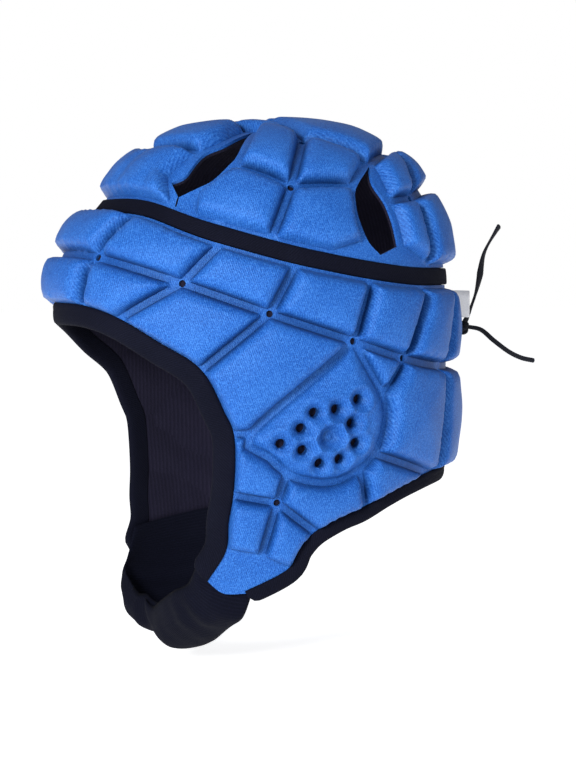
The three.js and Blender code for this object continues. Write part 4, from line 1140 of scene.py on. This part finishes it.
def add_mix(tree, fraction, a, b):
    node = tree.nodes.new("ShaderNodeMix")
    node.data_type = "RGBA"
    for socket, value in ((node.inputs["Factor"], fraction), (node.inputs[6], a), (node.inputs[7], b)):
        if isinstance(value, (int, float)):
            socket.default_value = value
        elif isinstance(value, tuple):
            socket.default_value = (*value, 1)
        else:
            tree.links.new(value, socket)
    return node.outputs[2]


def weave_group():
    """A knit's ribs and stitches: their height, a mask of random specks for painted glints, and broad
    blotches.
    """
    tree, given, made = node_group(
        "knit", [("Vector", "NodeSocketVector", None), ("Ribs per metre", "NodeSocketFloat", 900.0),
                 ("Slant", "NodeSocketFloat", 0.35)],
        [("Height", "NodeSocketFloat"), ("Glint", "NodeSocketFloat"), ("Blotch", "NodeSocketFloat")])
    split = tree.nodes.new("ShaderNodeSeparateXYZ")
    tree.links.new(given.outputs["Vector"], split.inputs[0])
    turn = 2 * math.pi
    u = add_math(tree, "MULTIPLY", split.outputs[0], given.outputs["Ribs per metre"])
    v = add_math(tree, "MULTIPLY", split.outputs[1], given.outputs["Ribs per metre"])
    slanted = add_math(tree, "MULTIPLY_ADD", v, given.outputs["Slant"], u)
    wobble = add_math(tree, "MULTIPLY", add_noise(tree, given.outputs["Vector"], 260), 1.6)
    rib = add_math(tree, "SINE", add_math(tree, "MULTIPLY_ADD", slanted, turn, wobble))
    stitch = add_math(tree, "SINE", add_math(tree, "MULTIPLY_ADD", v, turn * 0.8, wobble))
    both = add_math(tree, "MULTIPLY", add_math(tree, "MULTIPLY_ADD", stitch, 0.5, 0.5), rib)
    fine = add_math(tree, "MULTIPLY", both, 0.4)
    height = add_math(tree, "ADD", add_math(tree, "MULTIPLY", rib, 0.6), fine)
    tree.links.new(height, made.inputs["Height"])
    # Painted glints: fine random specks that the cloth lightens, standing in for the sparkle of light on
    # satin.
    speck = add_noise(tree, given.outputs["Vector"], 900, 0.0)
    glint = tree.nodes.new("ShaderNodeMapRange")
    set_inputs(glint, {"From Min": 0.6, "From Max": 0.78})
    tree.links.new(speck, glint.inputs[0])
    tree.links.new(glint.outputs[0], made.inputs["Glint"])
    tree.links.new(add_noise(tree, given.outputs["Vector"], 34, 3.0), made.inputs["Blotch"])
    return tree


KNIT = weave_group()


def new_material(name):
    material = bpy.data.materials.new(name)
    material.use_nodes = True
    return material, material.node_tree, material.node_tree.nodes["Principled BSDF"]


def cloth(name, colours, ribs, slant, roughness, bump, sheen, glint=0.0, grit=0.6, shine=0.5, tint=(1, 1, 1),
          crease=0.0):
    """A knitted or woven cloth, from its dark, middle and light colours; glint sets how much painted glint
    it has, and crease how much painted shade lies in its creases.
    """
    material, tree, shader = new_material(name)
    uv = tree.nodes.new("ShaderNodeUVMap")
    uv.uv_map = "cloth"
    knit = tree.nodes.new("ShaderNodeGroup")
    knit.node_tree = KNIT
    tree.links.new(uv.outputs[0], knit.inputs["Vector"])
    set_inputs(knit, {"Ribs per metre": ribs, "Slant": slant})
    place = tree.nodes.new("ShaderNodeTexCoord")
    broad = add_noise(tree, place.outputs["Object"], 22, 3.0)
    grain = add_noise(tree, place.outputs["Object"], 1500, 2.0, 0.7)
    tone = add_math(tree, "ADD", add_math(tree, "MULTIPLY", knit.outputs["Height"], 0.1),
                    add_math(tree, "MULTIPLY_ADD", knit.outputs["Blotch"], 0.3, -0.15))
    tone = add_math(tree, "ADD", tone, add_math(tree, "MULTIPLY_ADD", grain, grit, 0.5 - 0.5 * grit))
    dark, middle, light = colours
    base = add_ramp(tree, tone, [(0.25, dark), (0.5, middle), (0.8, light)])
    # Painted glints: the specks are mixed towards the light colour.
    base = add_mix(tree, add_math(tree, "MULTIPLY", knit.outputs["Glint"], glint), base, light)
    worn = add_math(tree, "MULTIPLY", broad, 0.12)
    base = add_mix(tree, worn, base, tuple(0.55 * c for c in middle))
    # Painted shade: where ambient occlusion finds nearby surfaces, in the creases at the pads' feet and
    # between parts, the colour is darkened towards a deeper dark; crease sets how much.
    if crease:
        crease_occlusion = tree.nodes.new("ShaderNodeAmbientOcclusion")
        crease_occlusion.only_local = True
        crease_occlusion.samples = 8
        crease_occlusion.inputs["Distance"].default_value = 0.007
        crease_shade_mask = add_ramp(tree, crease_occlusion.outputs["AO"], [(0.3, (crease, crease, crease)), (0.85, (0, 0, 0))])
        base = add_mix(tree, crease_shade_mask, base, tuple(0.35 * c for c in dark))
    tree.links.new(base, shader.inputs["Base Color"])
    rough = add_math(tree, "ADD", add_math(tree, "MULTIPLY", broad, 0.16), roughness - 0.08)
    tree.links.new(rough, shader.inputs["Roughness"])
    set_inputs(shader, {
        "Specular IOR Level": shine, "Specular Tint": (*tint, 1), "Sheen Weight": sheen,
        "Sheen Roughness": 0.4, "Sheen Tint": (*[min(1, 0.5 + c) for c in light], 1),
    })
    surface = tree.nodes.new("ShaderNodeBump")
    set_inputs(surface, {"Strength": bump, "Distance": 0.0004})
    relief = add_math(tree, "ADD", add_math(tree, "MULTIPLY", knit.outputs["Height"], 0.5),
                      add_math(tree, "MULTIPLY", grain, 1.8))
    tree.links.new(relief, surface.inputs["Height"])
    tree.links.new(surface.outputs[0], shader.inputs["Normal"])
    return material


def dress(piece, material, slot, *nodes):
    piece.data.materials.clear()
    piece.data.materials.append(material)
    if nodes:
        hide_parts(*nodes)
    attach(piece, "root")
    return piece


def label_tab():
    """A folded tab that stands out of the gap on edge."""
    foot = cloth_point(np.array([[180, LABEL_DROP + LABEL_HEIGHT / 2]]))[0][1] + LINING_TOP + 2 * SEAT_GAP
    half = LABEL_HEIGHT / 2 - 0.25
    heights = (-half, -half / 2, 0, half / 2, half)
    middle = STACK - LABEL_DROP + 0.6 - LABEL_HEIGHT / 2
    rings = []
    for t in np.linspace(0, 1, 24):
        y = foot + (LABEL_TIP - foot) * t
        x = LABEL_ASIDE + 0.35 * math.sin(t * 4.5)
        thick = 0.42 + 0.18 * t
        up = middle + 0.25 * math.sin(3.1 * t)
        ring = [(-thick, z) for z in heights] + [(0, half + 0.2)]
        ring += [(thick, z) for z in heights[::-1]] + [(0, -half - 0.2)]
        rings.append([(x + aside, y, up + z) for aside, z in ring])
    return loft("rear_label_tab", rings)


# The blue cloth carries painted glints and painted shade in its creases.
BLUE = cloth(
    "blue_knit", ((0.005, 0.045, 0.23), (0.014, 0.093, 0.38), (0.045, 0.18, 0.54)), ribs=1000, slant=0.35,
    roughness=0.45, bump=0.3, sheen=0.02, glint=0.6, grit=1.2, shine=0.3, tint=(0.4, 0.65, 1), crease=1.0)
NAVY = cloth(
    "navy_tape", ((0.002, 0.0025, 0.006), (0.0035, 0.004, 0.01), (0.008, 0.009, 0.019)), ribs=700, slant=0.9,
    roughness=0.85, bump=0.4, sheen=0.008, glint=0.1, grit=0.4, shine=0.06)
STRAP_CLOTH = cloth(
    "navy_strap", ((0.002, 0.0025, 0.006), (0.003, 0.0035, 0.009), (0.007, 0.008, 0.017)), ribs=600,
    slant=0.0, roughness=0.85, bump=0.35, sheen=0.008, glint=0.1, grit=0.4, shine=0.05)
LINING_CLOTH = cloth(
    "navy_lining", ((0.006, 0.006, 0.014), (0.01, 0.009, 0.021), (0.02, 0.018, 0.036)), ribs=420, slant=0.0,
    roughness=0.9, bump=0.4, sheen=0.05, glint=0.1, grit=0.4, shine=0.1)
LACE = cloth(
    "navy_lace", ((0.005, 0.005, 0.008), (0.009, 0.01, 0.015), (0.02, 0.02, 0.03)), ribs=900, slant=1.0,
    roughness=0.8, bump=0.7, sheen=0.05, glint=0.2, grit=0.4, shine=0.15)
WHITE = cloth(
    "white_label", ((0.62, 0.62, 0.64), (0.74, 0.74, 0.76), (0.85, 0.85, 0.86)), ribs=1400, slant=0.5,
    roughness=0.6, bump=0.3, sheen=0.1)

place_camera()

up_path = KNOT + np.array([[-LACE_ASIDE, back, up] for back, up in LACE_END_UP])
ribbon_turns = [(0, 60), (0.25, 20), (0.5, 70), (0.8, 20), (1, 50)]
end_up, up_line = ribbon("lace_end_up_ribbon", up_path, END_RIBBON, ribbon_turns, 120, 0.03, (1, 0.6))
dress(end_up, LACE, "lace_cord", "lace_end_up")

down_path = KNOT + np.array([[0, back, up] for back, up in LACE_END_DOWN])
end_down, down_line = ribbon(
    "lace_end_down_cord", down_path, END_BRAID, [(0, 0), (1, 120)], 110, 0.05, (1, 0.8))
dress(end_down, LACE, "lace_cord", "lace_end_down")

crown_cells = Panel(CROWN_CROSSINGS, CROWN_CELLS, -1)
side_cells = Panel(SIDE_CROSSINGS, SIDE_CELLS, 1)

crown = padded_panel("crown_pads", crown_cells)
punch(crown, both_sides([crown_cells.places[n] for n in CROWN_HOLES]), CROSSING_HOLE)
sides = padded_panel("side_pads", side_cells)
punch(sides, both_sides([side_cells.places[n] for n in SIDE_HOLES]), CROSSING_HOLE)
punch(sides, both_sides(EAR_HOLES * [1, CAP_DROP]), EAR_HOLE)
for panel, node in ((crown, "crown_panel"), (sides, "side_panel")):
    panel.data.set_sharp_from_angle(angle=math.radians(CREASE_ANGLE))
    dress(panel, BLUE, "panel_cloth", node)

crown_backing = lining("crown_backing", crown_cells, band_strips(crown_cells))
dress(crown_backing, LINING_CLOTH, "lining_cloth", "crown_lining")
side_backing = lining("side_backing", side_cells, band_strips(side_cells) + gap_strips(side_cells))
dress(side_backing, LINING_CLOTH, "lining_cloth", "side_lining")

right_neck = ["right_" + n for n in NECK_LINE][::-1]
for tape, node, cut, held in (
    (crown_band(), "crown_band", BAND_CUT, "stretched"),
    (binding("face_binding_tape", side_cells, FACE_LINE, FACE_TAPE), "face_binding", FACE_CUT, "folded"),
    (binding("neck_binding_left_tape", side_cells, NECK_LINE, NECK_TAPE), "neck_binding_left", NECK_CUT,
     "folded"),
    (binding("neck_binding_right_tape", side_cells, right_neck, NECK_TAPE), "neck_binding_right", NECK_CUT,
     "folded"),
):
    dress(tape, NAVY, "tape_cloth", node)

for strap, node, cut in (
    (strap_half("chin_strap_left_cloth", 1, 0, STRAP_NEAR), "chin_strap_left", NEAR_STRAP_CUT),
    (strap_half("chin_strap_right_cloth", -1, STRAP_PLY + 2 * SEAT_GAP, STRAP_FAR), "chin_strap_right",
     FAR_STRAP_CUT),
):
    dress(strap, STRAP_CLOTH, "strap_cloth", node)

rest = LACE_LIFT + 2 * SEAT_GAP + LACE_WIDTH / 2
crossing = [TIED + np.multiply(KNOT_FOOT, [-1, 1, 1])]
for across, down, lift in LACING:
    crossing.append(over_gap(across * LACE_REACH, LACE_DROP + down * LACE_PITCH, rest + lift * LACE_WIDTH))
crossing.append(TIED + KNOT_FOOT)
lacing = ribbon("rear_lacing", crossing, BRAID, UNTWISTED, 420, 0.05)[0]
dress(lacing, LACE, "lace_cord", "rear_lace")

loop = []
for t in np.linspace(0, 2 * math.pi, 90, endpoint=False):
    wide = 2 + math.cos(3 * t)
    turn = np.array([wide * math.cos(2 * t), math.sin(3 * t), wide * math.sin(2 * t)])
    loop.append(TIED + turn * KNOT_SPREAD)
knot = ribbon("lace_knot_tied", loop + loop[:1], KNOT_BRAID, UNTWISTED, 240, 0.05, (1, 1))[0]
dress(knot, LACE, "lace_cord", "lace_knot")

label = label_tab()
dress(label, WHITE, "label_cloth", "rear_label")

for side, name in (("", "petal_seam_left"), ("right_", "petal_seam_right")):
    line = crown_cells.edge(side + "front_vent_foot", side + "seam_foot")
    seam = ribbon(name, raised(line, np.full(len(line), 0.1)), PIPING, UNTWISTED, 30)[0]
    dress(seam, NAVY, "panel_cloth")


def floor():
    mesh = bpy.data.meshes.new("floor")
    square = ((-1, -1), (1, -1), (1, 1), (-1, 1))
    mesh.from_pydata([(x * FLOOR_HALF, y * FLOOR_HALF, FLOOR_HEIGHT) for x, y in square], [], [(0, 1, 2, 3)])
    ground = new_object("floor", mesh)
    material, _, shader = new_material("floor")
    set_inputs(shader, {
        "Base Color": (0.9, 0.9, 0.9, 1), "Emission Color": (1, 1, 1, 1), "Emission Strength": FLOOR_GLOW,
        "Roughness": 0.85,
    })
    mesh.materials.append(material)


def soft_light(name, at, size, watts):
    data = bpy.data.lights.new(name, "AREA")
    data.shape = "DISK"
    data.size = size
    data.energy = watts
    light = new_object(name, data)
    light.location = at
    light.rotation_mode = "QUATERNION"
    light.rotation_quaternion = (Vector(HEAD_MIDDLE) - Vector(at)).to_track_quat("-Z", "Y")


floor()
soft_light("key", (1.3, -1.2, 0.3), size=0.42, watts=35)
soft_light("top", (0.35, -0.1, 1.6), size=0.7, watts=2.5)
soft_light("fill", (1.9, 0.3, 0.2), size=0.9, watts=3)
world = bpy.data.worlds.new("room")
bpy.context.scene.world = world
world.use_nodes = True
room = world.node_tree
set_inputs(room.nodes["Background"], {"Color": (0.9, 0.93, 1, 1), "Strength": 0.3})
backdrop = room.nodes.new("ShaderNodeBackground")
set_inputs(backdrop, {"Color": (1, 1, 1, 1), "Strength": 1.0})
seen = room.nodes.new("ShaderNodeLightPath")
either = room.nodes.new("ShaderNodeMixShader")
room.links.new(seen.outputs["Is Camera Ray"], either.inputs[0])
room.links.new(room.nodes["Background"].outputs[0], either.inputs[1])
room.links.new(backdrop.outputs[0], either.inputs[2])
room.links.new(either.outputs[0], room.nodes["World Output"].inputs[0])
bpy.context.scene.view_settings.view_transform = "Standard"

bpy.context.view_layer.update()
